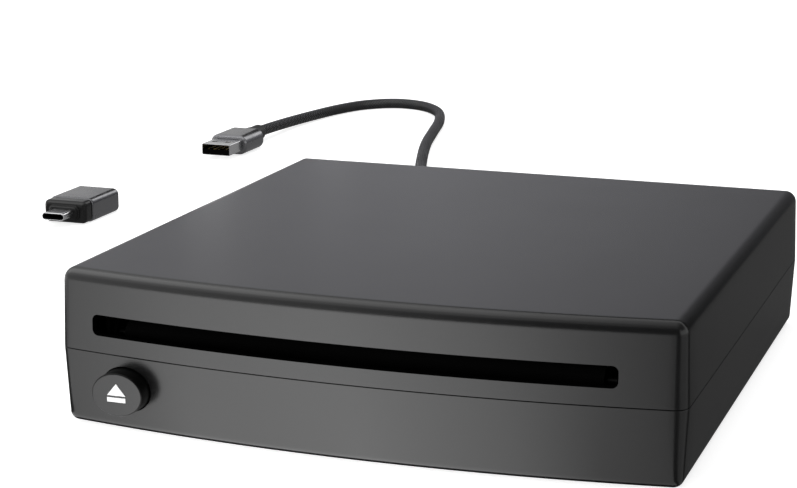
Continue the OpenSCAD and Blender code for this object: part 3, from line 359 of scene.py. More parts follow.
# %% Gland in the back wall
GLAND_IN_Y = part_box("cord_gland")[0].y / MM
CATCH_L, GLAND_COLLAR_T, RELIEF_L, RELIEF_RINGS = 1.0, 1.7, 9.4, 5
BORE_R, CATCH_R, NECK_R, GLAND_COLLAR_R = 2.3, 3.6, 3.2, 4.2
TAPER_R0, TAPER_R1, TAPER_BORE, RUBBER_ROUND = 3.7, 2.65, 2.2, 0.3
taper_y = RELIEF_END - RELIEF_L
collar_y, catch_y = taper_y - GLAND_COLLAR_T, GLAND_IN_Y + CATCH_L
ring_y = np.linspace(taper_y + 1.2, RELIEF_END - 1.4, RELIEF_RINGS)
ring_r = np.interp(ring_y, [taper_y, RELIEF_END], [TAPER_R0, TAPER_R1])
groove = np.array([[-0.75, 0], [-0.45, -0.32], [0.2, -0.32], [0.5, -0.05]])
grooves = (np.column_stack([ring_y, ring_r])[:, None] + groove[None]).reshape(-1, 2)
gland_profile = np.vstack([
    [[GLAND_IN_Y, BORE_R], [GLAND_IN_Y, CATCH_R], [catch_y, CATCH_R], [catch_y, NECK_R], [collar_y, NECK_R]],
    [[collar_y, GLAND_COLLAR_R], [taper_y, GLAND_COLLAR_R], [taper_y, TAPER_R0]],
    grooves,
    [[RELIEF_END, TAPER_R1], [RELIEF_END, TAPER_BORE]],
])
gland_rings = turned_along_y(round_profile(gland_profile, RUBBER_ROUND), LEAD_X, LEAD_Z)
make_piece("lead_gland", skin(gland_rings), "case", "cord_rubber", "cord_gland", sharp=60)

# %% Boot behind the plug
PLUG_X, AXIS_Z, PLUG_BEHIND = -180.0, 4.1, 154.0
SHELL_Y = RELIEF_END + PLUG_BEHIND
SHELL_L, PLUG_L, BOOT_L = 12.0, 18.0, 13.0
HOUSING_Y = SHELL_Y + SHELL_L
BOOT_Y = HOUSING_Y + PLUG_L
PLUG_W, PLUG_T = 15.6, 7.8
BOOT_W, BOOT_T, BOOT_D = PLUG_W - 3.2, PLUG_T - 1.4, CORD_D + 1.9
BOOT_R, FLARE_L, END_R = 2.4, 8.0, 1.0
to_end = np.linspace(0, BOOT_L - END_R, 25)
over = np.radians(np.linspace(15, 90, 6))
boot_at = BOOT_Y + np.concatenate([to_end, BOOT_L - END_R + END_R * np.sin(over)])
flare = np.concatenate([np.maximum(1 - to_end / FLARE_L, 0) ** 2, 0 * over])
drawn_in = np.concatenate([0 * to_end, END_R * (1 - np.cos(over))])
boot_w = BOOT_D + (BOOT_W - BOOT_D) * flare - 2 * drawn_in
boot_t = BOOT_D + (BOOT_T - BOOT_D) * flare - 2 * drawn_in
boot_r = np.minimum(BOOT_R + (BOOT_D / 2 - BOOT_R) * (1 - flare), boot_t / 2 - 0.02)
boot_body = np.stack([rounded_outline(w, t, r) for w, t, r in zip(boot_w, boot_t, boot_r)])
boot_rings = rings_along_y(boot_body, boot_at, PLUG_X, AXIS_Z)
boot = make_piece("plug_sleeve", skin(boot_rings), "case", "cord_rubber", "plug_boot", sharp=50)

# %% [markdown]
# ## The plug
#
# The housing is a short length of drawn aluminium with its front and back edges cut to a chamfer. A bevelled
# block could do, but a rounded rectangle carried along a profile puts each edge where the real one has it.
# Smooth shading would bend the light along the whole flat top, so a ring close to each end of a long stretch
# keeps the turn of the light there.

# %% Straight lengths
LEAST_CORNER = 0.15


def ringed(profile, long=2.5, margin=0.4):
    """The same profile with a point a margin inside each end of every long stretch: smooth shading then turns
    within the margins, and the stretch between them looks flat."""
    profile = np.asarray(profile, float)
    start, end = profile[:-1], profile[1:]
    length = np.linalg.norm(end - start, axis=1)
    step = (end - start) * (margin / np.maximum(length, margin))[:, None]
    points = np.stack([start, start + step, end - step], 1)
    kept = np.column_stack([length >= 0, length > long, length > long])
    return np.vstack([points[kept], profile[-1:]])


def drawn_along_y(width, height, radius, profile, x, z, steps=8):
    """A rounded rectangle carried along Y by a profile of distance and inset: each ring is drawn in by its
    inset on all sides, and its corners keep their centres."""
    at, inset = ringed(profile).T
    corner = np.maximum(radius - inset, LEAST_CORNER)
    rings = [rounded_outline(width - 2 * i, height - 2 * i, r, steps) for i, r in zip(inset, corner)]
    return rings_along_y(rings, at, x, z)


print("a stretch of 10 mm gets rings at", ringed([[0, 0], [10, 0]])[:, 0])

# %% Housing of the plug
HOUSING_R, CHAMFER, CHAMFER_ROUND, TAIL_IN = 3.3, 0.7, 0.16, 2.4
RIM_IN, RECESS, HOLE_IN, HOLE_L = 1.6, 0.5, 3.4, 5.0
housing_profile = round_profile(
    [
        [HOUSING_Y + HOLE_L, HOLE_IN], [HOUSING_Y + RECESS, HOLE_IN], [HOUSING_Y + RECESS, RIM_IN],
        [HOUSING_Y, RIM_IN], [HOUSING_Y, CHAMFER], [HOUSING_Y + CHAMFER, 0],
        [BOOT_Y - CHAMFER, 0], [BOOT_Y, CHAMFER], [BOOT_Y, TAIL_IN],
    ],
    CHAMFER_ROUND, steps=3,
)
housing_rings = drawn_along_y(PLUG_W, PLUG_T, HOUSING_R, housing_profile, PLUG_X, AXIS_Z)
housing = make_piece("plug_body", skin(housing_rings), "case", "plug_grey", "plug_housing", sharp=28)

# %% [markdown]
# The metal shell in front is a folded strip with two square windows above and two below. Windows could be dark
# paint, but looking into them shows the tongue, so they are cut: a cutter is another skin, and a Boolean takes
# it out once, while the script runs, so that no modifier is left to wait for it.

# %% Cutters
def prism(outline, along_axis, low, high, at):
    """An outline carried straight along Y or Z from low to high, about a point in the other two axes."""
    outline = np.asarray(outline) + np.asarray(at)
    ends = np.array([low, high], float)[:, None]
    flat = np.broadcast_to(outline[None], (2, *outline.shape))
    depth = np.broadcast_to(ends, flat.shape[:2])
    order = [flat[..., 0], depth, flat[..., 1]] if along_axis == "y" else [flat[..., 0], flat[..., 1], depth]
    return skin(np.stack(order, -1))


def cut_out(piece, *cutters, sharp=35):
    """Takes closed cutters out of a piece with an exact Boolean and keeps the result as its mesh."""
    cutter = bpy.data.objects.new("cutter", make_mesh("cutter", *several(*cutters)))
    scene.collection.objects.link(cutter)
    step = piece.modifiers.new("cut", "BOOLEAN")
    step.object, step.operation, step.solver = cutter, "DIFFERENCE", "EXACT"
    bpy.context.view_layer.update()
    whole = piece.data
    piece.data = bpy.data.meshes.new_from_object(piece.evaluated_get(bpy.context.evaluated_depsgraph_get()))
    piece.modifiers.remove(step)
    piece.data.name = piece.name
    piece.data.shade_smooth()
    piece.data.set_sharp_from_angle(angle=math.radians(sharp))
    bpy.data.meshes.remove(whole)
    bpy.data.objects.remove(cutter)
    print(piece.name, "cut,", len(piece.data.polygons), "faces")


print("a cutter of eight points has", len(prism(oval_outline(2, 2, 8), "z", 0, 1, [0, 0])[1]), "faces")

# %% Shell of the plug
SHELL_IN, SHELL_W, SHELL_T, SHELL_R, SHELL_WALL = 5.0, 12.0, 4.5, 0.55, 0.3
WINDOW_X, WINDOW_W, WINDOW_Y0, WINDOW_Y1, WINDOW_R = 2.9, 2.4, 4.6, 6.9, 0.25
shell_profile = [
    [SHELL_Y + 0.25, 0], [HOUSING_Y + SHELL_IN, 0], [HOUSING_Y + SHELL_IN, SHELL_WALL],
    [SHELL_Y + 0.35, SHELL_WALL], [SHELL_Y + 0.06, SHELL_WALL * 0.72], [SHELL_Y, SHELL_WALL * 0.5],
    [SHELL_Y + 0.06, SHELL_WALL * 0.25],
]
shell_rings = drawn_along_y(SHELL_W, SHELL_T, SHELL_R, shell_profile, PLUG_X, AXIS_Z)
shell = make_piece("plug_jacket", skin(shell_rings, closed=True), "case", "plug_nickel", "plug_shell", sharp=40)
window = rounded_outline(WINDOW_W, WINDOW_Y1 - WINDOW_Y0, WINDOW_R, 3)
window_y = SHELL_Y + (WINDOW_Y0 + WINDOW_Y1) / 2
low, high = AXIS_Z - SHELL_T, AXIS_Z + SHELL_T
cut_out(shell, *[prism(window, "z", low, high, [PLUG_X + x, window_y]) for x in (-WINDOW_X, WINDOW_X)], sharp=40)

# %% [markdown]
# ## The adapter
#
# The adapter is a loose piece that slides onto the plug: an aluminium sleeve, a glossy nose that steps
# down to a collar, and a small rounded metal tip. Each step is a ring of its own in the profile, so the
# light breaks at the same places as on the real one.

# %% Sleeve, nose and tip of the adapter
ADAPTER_BEHIND = 24.0
ADAPTER_Y = RELIEF_END + ADAPTER_BEHIND
TIP_L, COLLAR_L, NOSE_L, ADAPTER_L = 6.65, 1.4, 5.0, 19.0
COLLAR_W, COLLAR_H = 11.54, 5.16
ADAPTER_W, ADAPTER_T, SLEEVE_R, SLEEVE_WALL = 16.4, 8.2, 2.0, 0.8
NOSE_Y = ADAPTER_Y + TIP_L + COLLAR_L
SLEEVE_Y = NOSE_Y + NOSE_L
MOUTH_Y = SLEEVE_Y + ADAPTER_L
sleeve_profile = [
    [SLEEVE_Y + 0.5, 0], [MOUTH_Y - 0.4, 0], [MOUTH_Y - 0.1, 0.12], [MOUTH_Y, 0.4], [MOUTH_Y, SLEEVE_WALL],
    [SLEEVE_Y, SLEEVE_WALL], [SLEEVE_Y, 0.5], [SLEEVE_Y + 0.12, 0.15],
]
sleeve_rings = drawn_along_y(ADAPTER_W, ADAPTER_T, SLEEVE_R, sleeve_profile, PLUG_X, AXIS_Z)
make_piece("adapter_body", skin(sleeve_rings, closed=True), "adapter", "plug_grey", "adapter_sleeve", sharp=28)

nose_profile = round_profile(
    [[SLEEVE_Y, 3], [SLEEVE_Y, 0.6], [SLEEVE_Y - 0.5, 0.6], [SLEEVE_Y - 0.5, 0.3], [NOSE_Y + 0.9, 0.3],
     [NOSE_Y, 1.2], [NOSE_Y, 2.4]],
    0.3,
)
collar_profile = round_profile(
    [[NOSE_Y + 0.6, 0], [NOSE_Y - 0.45, 0], [NOSE_Y - 0.5, 0.45], [NOSE_Y - COLLAR_L + 0.2, 0.5],
     [NOSE_Y - COLLAR_L, 0.8], [NOSE_Y - COLLAR_L, 1.4]],
    0.15,
)
nose = several(
    skin(drawn_along_y(ADAPTER_W, ADAPTER_T, SLEEVE_R, nose_profile, PLUG_X, AXIS_Z)),
    skin(drawn_along_y(COLLAR_W, COLLAR_H, SLEEVE_R, collar_profile, PLUG_X, AXIS_Z)),
)
make_piece("adapter_front", nose, "adapter", "black_plastic", "adapter_nose", sharp=30)

TIP_W, TIP_T, TIP_WALL = 8.34, 2.56, 0.3
tip_profile = [
    [ADAPTER_Y + 0.3, 0], [SLEEVE_Y - 1, 0], [SLEEVE_Y - 1, TIP_WALL], [ADAPTER_Y + 0.2, TIP_WALL],
    [ADAPTER_Y + 0.05, 0.25], [ADAPTER_Y, 0.16], [ADAPTER_Y + 0.1, 0.04],
]
tip_rings = drawn_along_y(TIP_W, TIP_T, TIP_T / 2 - 0.02, tip_profile, PLUG_X, AXIS_Z, steps=12)
make_piece("adapter_shell", skin(tip_rings, closed=True), "adapter", "plug_nickel", "adapter_tip", sharp=40)

# %% [markdown]
# ## The case
#
# The case is two moulded halves that meet at a seam a little below the middle. Seen from above its front
# bows forward; the walls lean in above and below the seam so that the halves could leave their moulds.
# A block with rounded edges would lose both. So the halves come from one outline, drawn in by an inset at each
# height, which is how a moulder would describe them: a profile of height and inset, carried round the outline.

# %% Measures and drafts
CASE_W, CASE_D, CASE_H = 150.0, 154.6, 38.0
SEAM_Z = CASE_H * 0.494
FRONT_BOW, WALL, EDGE_R, BASE_R, CORNER_R, MIN_CORNER = 6.4, 2.2, 2.9, 2.1, 3.4, 0.4
DRAFT_UP, DRAFT_LOW = 1.8, 2.9
FOOT_PROUD = 0.6
BOW_R = ((CASE_W / 2) ** 2 + FRONT_BOW**2) / (2 * FRONT_BOW)
BOW_Y = BOW_R - CASE_D / 2


def inset_at(z):
    """How far the wall has leaned in at a height: the distance from the seam times the tangent of the draft of
    that half."""
    lean = np.where(np.asarray(z) > SEAM_Z, math.tan(math.radians(DRAFT_UP)), math.tan(math.radians(DRAFT_LOW)))
    return np.abs(np.asarray(z) - SEAM_Z) * lean


print("front bow radius", round(BOW_R, 1), "mm; inset at the top", round(float(inset_at(CASE_H)), 2), "mm")

# %% The outline from above
def case_outline(inset, front_n=96, corner_n=12, side_n=16):
    """The case from above, drawn in by each inset: a front arc about a far centre, straight sides and back,
    and corners of the radius that is left. Insets x points x 2, counterclockwise from the front left."""
    t = np.asarray(inset, float)[:, None]
    c = np.maximum(CORNER_R - t, MIN_CORNER)
    side, rear = CASE_W / 2 - t - c, CASE_D / 2 - t - c
    front = BOW_Y - np.sqrt((BOW_R - t - c) ** 2 - side**2)
    half = np.arctan2(side, BOW_Y - front)
    down = 1.5 * np.pi

    def arc(x, y, r, start, stop, n):
        """Points on circles of a radius about x and y, at even angles from start up to stop."""
        angle = start + (stop - start) * np.arange(n) / n
        return np.stack([x + r * np.cos(angle), y + r * np.sin(angle)], -1)

    def straight(x0, y0, x1, y1):
        """Points at even shares of the way from one end up to the other."""
        share = (np.arange(side_n) / side_n)[None, :]
        return np.stack([x0 + (x1 - x0) * share, y0 + (y1 - y0) * share], -1)

    return np.concatenate([
        arc(0 * t, BOW_Y, BOW_R - t, down - half, down + half, front_n),
        arc(side, front, c, half - np.pi / 2, 0 * t, corner_n),
        straight(side + c, front, side + c, rear),
        arc(side, rear, c, 0 * t, np.pi / 2 + 0 * t, corner_n),
        straight(side, rear + c, -side, rear + c),
        arc(-side, rear, c, np.pi / 2 + 0 * t, np.pi + 0 * t, corner_n),
        straight(-side - c, rear, -side - c, front),
        arc(-side, front, c, np.pi + 0 * t, down - half, corner_n),
    ], 1)


print("case outline has", case_outline([0]).shape[1], "points")

# %% Rings of the case
def case_rings(profile):
    """The outline at each inset of a profile of height and inset, lifted to that height."""
    profile = np.asarray(profile, float)
    flat = case_outline(profile[:, 1])
    height = np.broadcast_to(profile[:, :1, None], (*flat.shape[:2], 1))
    return np.concatenate([flat, height], -1)


def wall_heights(edge, spread_from, rim):
    """Heights of the rings on a wall from a rounded edge to a rim: nine spread evenly between, one close to the
    edge and two close to the rim, so that smooth shading turns at the ends and the wall looks flat."""
    way = math.copysign(1, rim - edge)
    spread = np.linspace(spread_from, rim - 1.5 * way, 9)
    return np.concatenate([[edge + 0.3 * way], spread, [rim - 0.3 * way, rim - 0.05 * way]])


print("heights on a wall of 20 mm:", np.round(wall_heights(0, 1.5, 20), 2))

# %% [markdown]
# The profile of the upper half runs from the flat top over the rounded edge, down the leaning wall, round a
# small rim and up the inside. The rims of the two halves stop a little short of each other, and a lip
# on the lower half stands behind the gap, so the seam is a real shadow line and not a drawn one.

# %% Upper half
SEAM_GAP, RIM_R = 0.075, 0.1
FLAT_IN, FLAT_RIM = 4.0, 0.4
quarter = np.radians(np.linspace(90, 0, 13))
round_top = CASE_H - EDGE_R
edge_z = round_top + EDGE_R * np.sin(quarter)
edge_t = inset_at(edge_z) + EDGE_R * (1 - np.cos(quarter))
rim_z = SEAM_Z + SEAM_GAP + RIM_R
wall_z = wall_heights(round_top, round_top - 1.5, rim_z)
rim = quarter[::-1][::3]
ceiling = CASE_H - WALL
upper_profile = np.vstack([
    [[CASE_H, edge_t[0] + FLAT_IN], [CASE_H, edge_t[0] + FLAT_RIM]],
    np.column_stack([edge_z, edge_t]),
    np.column_stack([wall_z, inset_at(wall_z)]),
    np.column_stack([rim_z - RIM_R * np.sin(rim), inset_at(rim_z) + RIM_R * (1 - np.cos(rim))]),
    [[SEAM_Z + SEAM_GAP, WALL], [ceiling - 1, WALL + inset_at(ceiling - 1)]],
    [[ceiling, WALL + 1.6], [ceiling, WALL + 6]],
])
upper = make_piece("upper_half", skin(case_rings(upper_profile)), "case", "case_plastic", "top_cover")

# %% [markdown]
# The slot for the disc is a long rounded hole in the front wall. It is cut with a prism and its
# edge gets a small live bevel, as a moulded edge is never quite sharp.

# %% Disc slot
def soften(piece, width, steps=2, angle=50):
    """A live bevel that rounds the edges sharper than an angle, in millimetres."""
    bevel = piece.modifiers.new("edges", "BEVEL")
    bevel.width, bevel.segments = width * MM, steps
    bevel.limit_method, bevel.angle_limit = "ANGLE", math.radians(angle)
    bevel.harden_normals = True


SLOT_W, SLOT_H, SLOT_R = 126.0, 5.0, 1.5
SLOT_X, SLOT_Z = -2.7, CASE_H * 0.668
IN_FRONT, SLOT_END = -90, -64
slot_hole = rounded_outline(SLOT_W, SLOT_H, SLOT_R, 10)
cut_out(upper, prism(slot_hole, "y", IN_FRONT, SLOT_END, [SLOT_X, SLOT_Z]))
soften(upper, 0.22)

# %% [markdown]
# The lower half is the same profile upside down, with a smaller edge at the base. Its wall ends in the other
# rim of the seam and carries on as the lip behind it.

# %% Lower half
LIP_GAP, LIP_T, LIP_H = 0.15, 1.2, 1.6
floor = FOOT_PROUD + WALL
base_z = FOOT_PROUD + BASE_R * (1 - np.sin(quarter))
base_t = inset_at(FOOT_PROUD + BASE_R) + BASE_R * (1 - np.cos(quarter))
rim_low = SEAM_Z - SEAM_GAP - RIM_R
low_z = wall_heights(FOOT_PROUD + BASE_R, 4, rim_low)
lip_in = WALL + LIP_GAP
lower_profile = np.vstack([
    [[FOOT_PROUD, base_t[0] + FLAT_IN], [FOOT_PROUD, base_t[0] + FLAT_RIM]],
    np.column_stack([base_z, base_t]),
    np.column_stack([low_z, inset_at(low_z)]),
    np.column_stack([rim_low + RIM_R * np.sin(rim), inset_at(rim_low) + RIM_R * (1 - np.cos(rim))]),
    [[SEAM_Z - SEAM_GAP, lip_in], [SEAM_Z + LIP_H, lip_in], [SEAM_Z + LIP_H, lip_in + LIP_T]],
    [[floor + 1, lip_in + LIP_T], [floor, lip_in + LIP_T + 1], [floor, lip_in + LIP_T + 6]],
])
lower = make_piece("lower_half", skin(case_rings(lower_profile)), "case", "case_plastic", "bottom_case")

# %% [markdown]
# The lower half has the oval hole for the button, the hole for the gland, four deep holes for the screws
# that hold the halves together, and four shallow seats that the feet are glued into.

# %% Holes of the lower half
BUTTON_X, BUTTON_Z, BUTTON_W, BUTTON_H = -56.9, 10.8, 12.8, 10.4
BUTTON_GAP = 0.3
FOOT_D, FOOT_SINK, FOOT_GAP = 12.0, 1.0, 0.2
FOOT_SPOTS = [(x, y) for x in (-58, 58) for y in (-58, 62)]
SCREW_SPOTS = [(x, y) for x in (-68.4, 68.4) for y in (-55, 70)]
SCREW_HOLE, GLAND_HOLE = 5.4, 6.5
BUTTON_END, BACK_START, BACK_END, BELOW = -66, 70, 80, -1
button_hole = oval_outline(BUTTON_W + 2 * BUTTON_GAP, BUTTON_H + 2 * BUTTON_GAP)
gland_hole = oval_outline(GLAND_HOLE, GLAND_HOLE, 40)
screw_hole = oval_outline(SCREW_HOLE, SCREW_HOLE, 40)
foot_seat = oval_outline(FOOT_D + 2 * FOOT_GAP, FOOT_D + 2 * FOOT_GAP, 56)
cut_out(
    lower,
    prism(button_hole, "y", IN_FRONT, BUTTON_END, [BUTTON_X, BUTTON_Z]),
    prism(gland_hole, "y", BACK_START, BACK_END, [LEAD_X, LEAD_Z]),
    *[prism(screw_hole, "z", BELOW, floor + 3, spot) for spot in SCREW_SPOTS],
    *[prism(foot_seat, "z", BELOW, FOOT_PROUD + FOOT_SINK, spot) for spot in FOOT_SPOTS],
)
soften(lower, 0.2)

# %% [markdown]
# ## Feet
#
# Each foot is a disc of soft rubber with a rounded edge and a shallow dish underneath, so that it grips by
# its rim. It is a profile turned about an upright line.

# %% Four feet
foot_top, foot_r, FOOT_LOW, DISH_Z, FOOT_ROUND = FOOT_PROUD + FOOT_SINK, FOOT_D / 2, 0.02, 0.2, 0.35
foot_profile = round_profile(
    [
        [foot_top, 2], [foot_top, foot_r], [FOOT_LOW, foot_r - 0.25], [FOOT_LOW, 4.4],
        [DISH_Z, 3.4], [DISH_Z, 1],
    ],
    FOOT_ROUND,
)


def turned_about_z(profile, x, y, steps=48):
    """A profile of height and radius turned about an upright line at x and y."""
    profile = np.asarray(profile, float)
    circle = oval_outline(2, 2, steps)
    flat = profile[:, 1, None, None] * circle[None] + [x, y]
    height = np.broadcast_to(profile[:, :1, None], (*flat.shape[:2], 1))
    return np.concatenate([flat, height], -1)


feet = several(*[skin(turned_about_z(foot_profile, x, y)) for x, y in FOOT_SPOTS])
make_piece("grip_feet", feet, "case", "foot_rubber", "rubber_feet", sharp=40)

# %% [markdown]
# ## The eject button
#
# The button is an oval cap that stands well out of the front. Its face is satin and its edge is rounded over
# into a glossy dark wall; behind the wall is the flange that keeps it in the case, and a stem that meets
# the switch. The face is very slightly crowned, which gives it a softer light than a flat disc.

# %% Cap, flange and stem
def front_y(x):
    """Where the front face stands at the seam, at a sideways place: the near side of the bow's circle."""
    return BOW_Y - math.sqrt(BOW_R**2 - x**2)


CAP_PROUD, CAP_EDGE = 5.0, 0.4
FLANGE_T, FLANGE_LAP, STEM_D, STEM_L = 1.2, 1.2, 4.0, 1.2
CAP_Y = front_y(BUTTON_X) + float(inset_at(BUTTON_Z)) - CAP_PROUD
FLANGE_Y = front_y(BUTTON_X - BUTTON_W / 2 - FLANGE_LAP) + WALL + LIP_GAP + LIP_T + BUTTON_GAP
STEM_END = FLANGE_Y + FLANGE_T + STEM_L
over = np.radians(np.linspace(90, 0, 11))
cap_profile = np.vstack([
    [[CAP_Y, 4.4], [CAP_Y + 0.01, 2.6], [CAP_Y + 0.04, CAP_EDGE + 0.25]],
    np.column_stack([CAP_Y + 0.05 + CAP_EDGE * (1 - np.sin(over)), CAP_EDGE * (1 - np.cos(over))]),
    [[CAP_Y + 2.5, 0], [FLANGE_Y - 0.02, 0], [FLANGE_Y, -0.02], [FLANGE_Y, -FLANGE_LAP]],
    [[FLANGE_Y + FLANGE_T, -FLANGE_LAP], [FLANGE_Y + FLANGE_T, 2.9]],
])


def oval_rings(profile, width, height, x, z, steps=96):
    """An ellipse carried along Y by a profile of distance and inset."""
    rings = [oval_outline(width - 2 * inset, height - 2 * inset, steps) for y, inset in profile]
    return rings_along_y(rings, [y for y, inset in profile], x, z)


cap = skin(oval_rings(cap_profile, BUTTON_W, BUTTON_H, BUTTON_X, BUTTON_Z))
stem_r, STEM_EDGE = STEM_D / 2, 0.2
stem_profile = [[FLANGE_Y + STEM_EDGE, stem_r], [STEM_END - STEM_EDGE, stem_r], [STEM_END, stem_r - STEM_EDGE]]
stem = skin(turned_along_y(stem_profile, BUTTON_X, BUTTON_Z))
button = make_piece("eject_cap", several(cap, stem), "button", "button_plastic", "eject_button", sharp=40)

# %% [markdown]
# ## Inside the case
#
# Two soft pieces are hidden in the case, the end of the lead and the ribbon to the moving deck. The real ribbon
# bends as the deck rises; here it rides on no body and keeps one shape, a flat strip carried along a smooth
# line from the case up to the deck.

# %% Ribbon and the lead's inner end
ribbon_low, ribbon_high = (np.array(corner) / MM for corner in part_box("flat_cable"))
RIBBON_T, RIBBON_CLEAR = 0.22, 0.13
(front, base), (rear, peak) = ribbon_low[1:], ribbon_high[1:]
upright = rear - 4.1
bend = np.array([
    [front, base + RIBBON_CLEAR], [front + 3, base + RIBBON_CLEAR], [upright - 0.2, base + 0.6],
    [upright, base + 4], [upright, peak - 2], [upright + 0.9, peak - 0.3], [rear, peak - RIBBON_CLEAR],
])


def ribbon_rings(line, width, thick):
    """A flat strip along a line in the YZ plane: four corners at each point, half the width to either side in
    X and half the thickness along the normal, which is X crossed with the direction of the line."""
    ahead = np.gradient(line, axis=0)
    ahead /= np.linalg.norm(ahead, axis=1)[:, None]
    normal = np.cross([1, 0, 0], ahead)
    corner = np.array([[-1, -1], [1, -1], [1, 1], [-1, 1]])
    across = corner[None, :, :1] * width / 2 * np.array([1, 0, 0])
    return line[:, None] + across + corner[None, :, 1:] * thick / 2 * normal[:, None]


ribbon_x = (ribbon_low[0] + ribbon_high[0]) / 2
ribbon_line = smooth_line(np.column_stack([np.full(len(bend), ribbon_x), bend]), 8)
ribbon_skin = skin(ribbon_rings(ribbon_line, ribbon_high[0] - ribbon_low[0], RIBBON_T))
ribbon = make_piece("deck_ribbon", ribbon_skin, None, "ivory_plastic", "flat_cable", sharp=50)
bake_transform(ribbon)
TAIL_R, TAIL_CUT_R, TAIL_CORE_R = 1.6, 1.5, 1.2
tail_in, tail_out = (corner.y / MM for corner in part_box("lead_tail"))
tail_profile = [
    [tail_in, TAIL_CORE_R], [tail_in, TAIL_CUT_R], [tail_in + 0.3, TAIL_R], [tail_out, TAIL_R], [tail_out, TAIL_CORE_R],
]
make_piece("lead_core", skin(turned_along_y(tail_profile, LEAD_X, LEAD_Z, 32)), "case", "cord_rubber", "lead_tail")

# %% [markdown]
# ## Finishes
#
# A moulded part is never one flat colour: the mould leaves a fine grain, the plastic flows a little darker
# and lighter, and hands leave patches where the gloss differs. These three go into one node group with a
# size of grain as its input, so that every plastic and rubber can use it with its own values.

# %% Nodes
def new_group(name, inputs, outputs):
    """An empty shader group with named number inputs (with their defaults) and number outputs."""
    tree = bpy.data.node_groups.new(name, "ShaderNodeTree")
    for label, value in inputs.items():
        socket = tree.interface.new_socket(label, in_out="INPUT", socket_type="NodeSocketFloat")
        socket.default_value = value
    for label in outputs:
        tree.interface.new_socket(label, in_out="OUTPUT", socket_type="NodeSocketFloat")
    return tree, tree.nodes.new("NodeGroupInput"), tree.nodes.new("NodeGroupOutput")


def noise(tree, vector, scale, detail=2.0, roughness=0.5):
    """A noise texture on a vector; scale is a number of lumps per metre, or a socket that gives it."""
    node = tree.nodes.new("ShaderNodeTexNoise")
    node.inputs["Detail"].default_value, node.inputs["Roughness"].default_value = detail, roughness
    tree.links.new(vector, node.inputs["Vector"])
    if isinstance(scale, (int, float)):
        node.inputs["Scale"].default_value = scale
    else:
        tree.links.new(scale, node.inputs["Scale"])
    return node.outputs["Fac"]


def ranged(tree, value, low, high, to_low, to_high):
    """A value taken from one range to another, held at the ends."""
    node = tree.nodes.new("ShaderNodeMapRange")
    for label, number in zip(("From Min", "From Max", "To Min", "To Max"), (low, high, to_low, to_high)):
        node.inputs[label].default_value = number
    tree.links.new(value, node.inputs["Value"])
    return node.outputs["Result"]


def reckon(tree, operation, a, b=None):
    """A Math node on sockets or numbers."""
    node = tree.nodes.new("ShaderNodeMath")
    node.operation = operation
    for slot_in, value in zip(node.inputs, (a, b)):
        if isinstance(value, (int, float)):
            slot_in.default_value = value
        elif value is not None:
            tree.links.new(value, slot_in)
    return node.outputs[0]


print("node groups so far:", len(bpy.data.node_groups))

# %% Moulded grain
def shared(tree, first, share, second):
    """The sum of a share of one value and the rest of another."""
    rest = reckon(tree, "MULTIPLY", second, 1 - share)
    return reckon(tree, "ADD", reckon(tree, "MULTIPLY", first, share), rest)


def put_out(tree, out, height, tone, smudge):
    """Links a group's height as it is, and its tone and smudge stretched from the range given with each to 0
    and 1."""
    tree.links.new(height, out.inputs["Height"])
    for label, (value, low, high) in (("Tone", tone), ("Smudge", smudge)):
        tree.links.new(ranged(tree, value, low, high, 0, 1), out.inputs[label])
    print("group", tree.name, "has", len(tree.nodes), "nodes")


EFFECTS = ["Height", "Tone", "Smudge"]
FLOW_LUMPS, HAND_PATCHES = 55, 38
grain_group, grain_in, grain_out = new_group("moulded_grain", {"Grains per metre": 2500}, EFFECTS)
spot = grain_group.nodes.new("ShaderNodeTexCoord").outputs["Object"]
fine = noise(grain_group, spot, grain_in.outputs["Grains per metre"], 3, 0.6)
flow = shared(grain_group, noise(grain_group, spot, FLOW_LUMPS, 3), 0.6, fine)
hands = noise(grain_group, spot, HAND_PATCHES, 4, 0.62)
put_out(grain_group, grain_out, fine, (flow, 0.32, 0.68), (hands, 0.36, 0.66))

# %% [markdown]
# Drawn and ground metal carries fine lines along the way it was worked. The same noise, stretched fifty times
# along one direction, gives those lines; a second one of fine specks keeps them from looking combed.

# %% Drawn metal
STRETCH, SPECKS, METAL_PATCHES = 50, 9000, 120
drawn_group, drawn_in, drawn_out = new_group("drawn_lines", {"Lines per metre": 6000}, EFFECTS)
spot = drawn_group.nodes.new("ShaderNodeTexCoord").outputs["Object"]
stretch = drawn_group.nodes.new("ShaderNodeMapping")
stretch.inputs["Scale"].default_value = (1, 1 / STRETCH, 1)
drawn_group.links.new(spot, stretch.inputs["Vector"])
lines = noise(drawn_group, stretch.outputs["Vector"], drawn_in.outputs["Lines per metre"], 2)
worked = shared(drawn_group, lines, 0.7, noise(drawn_group, spot, SPECKS, 1))
hands = noise(drawn_group, spot, METAL_PATCHES, 3)
put_out(drawn_group, drawn_out, worked, (worked, 0.3, 0.7), (hands, 0.35, 0.65))

# %% [markdown]
# A finish is then a Principled shader whose colour swings a little about the written one, whose roughness
# follows the smudges, and whose bump follows the grain. What is the same all over, such as the
# specular level or being a metal, is set on the shader itself.

# %% Colour and relief
def colours(tree, share, low, high):
    """A colour that runs from one to another by a share from 0 to 1."""
    node = tree.nodes.new("ShaderNodeMix")
    node.data_type = "RGBA"
    node.inputs[6].default_value, node.inputs[7].default_value = (*low, 1), (*high, 1)
    tree.links.new(share, node.inputs[0])
    return node.outputs[2]


def emboss(tree, height, shader, strength, depth):
    """A bump of a depth in millimetres, by a height from 0 to 1, on a shader's normal."""
    relief = tree.nodes.new("ShaderNodeBump")
    relief.inputs["Strength"].default_value = strength
    relief.inputs["Distance"].default_value = depth * MM
    tree.links.new(height, relief.inputs["Height"])
    tree.links.new(relief.outputs["Normal"], shader.inputs["Normal"])


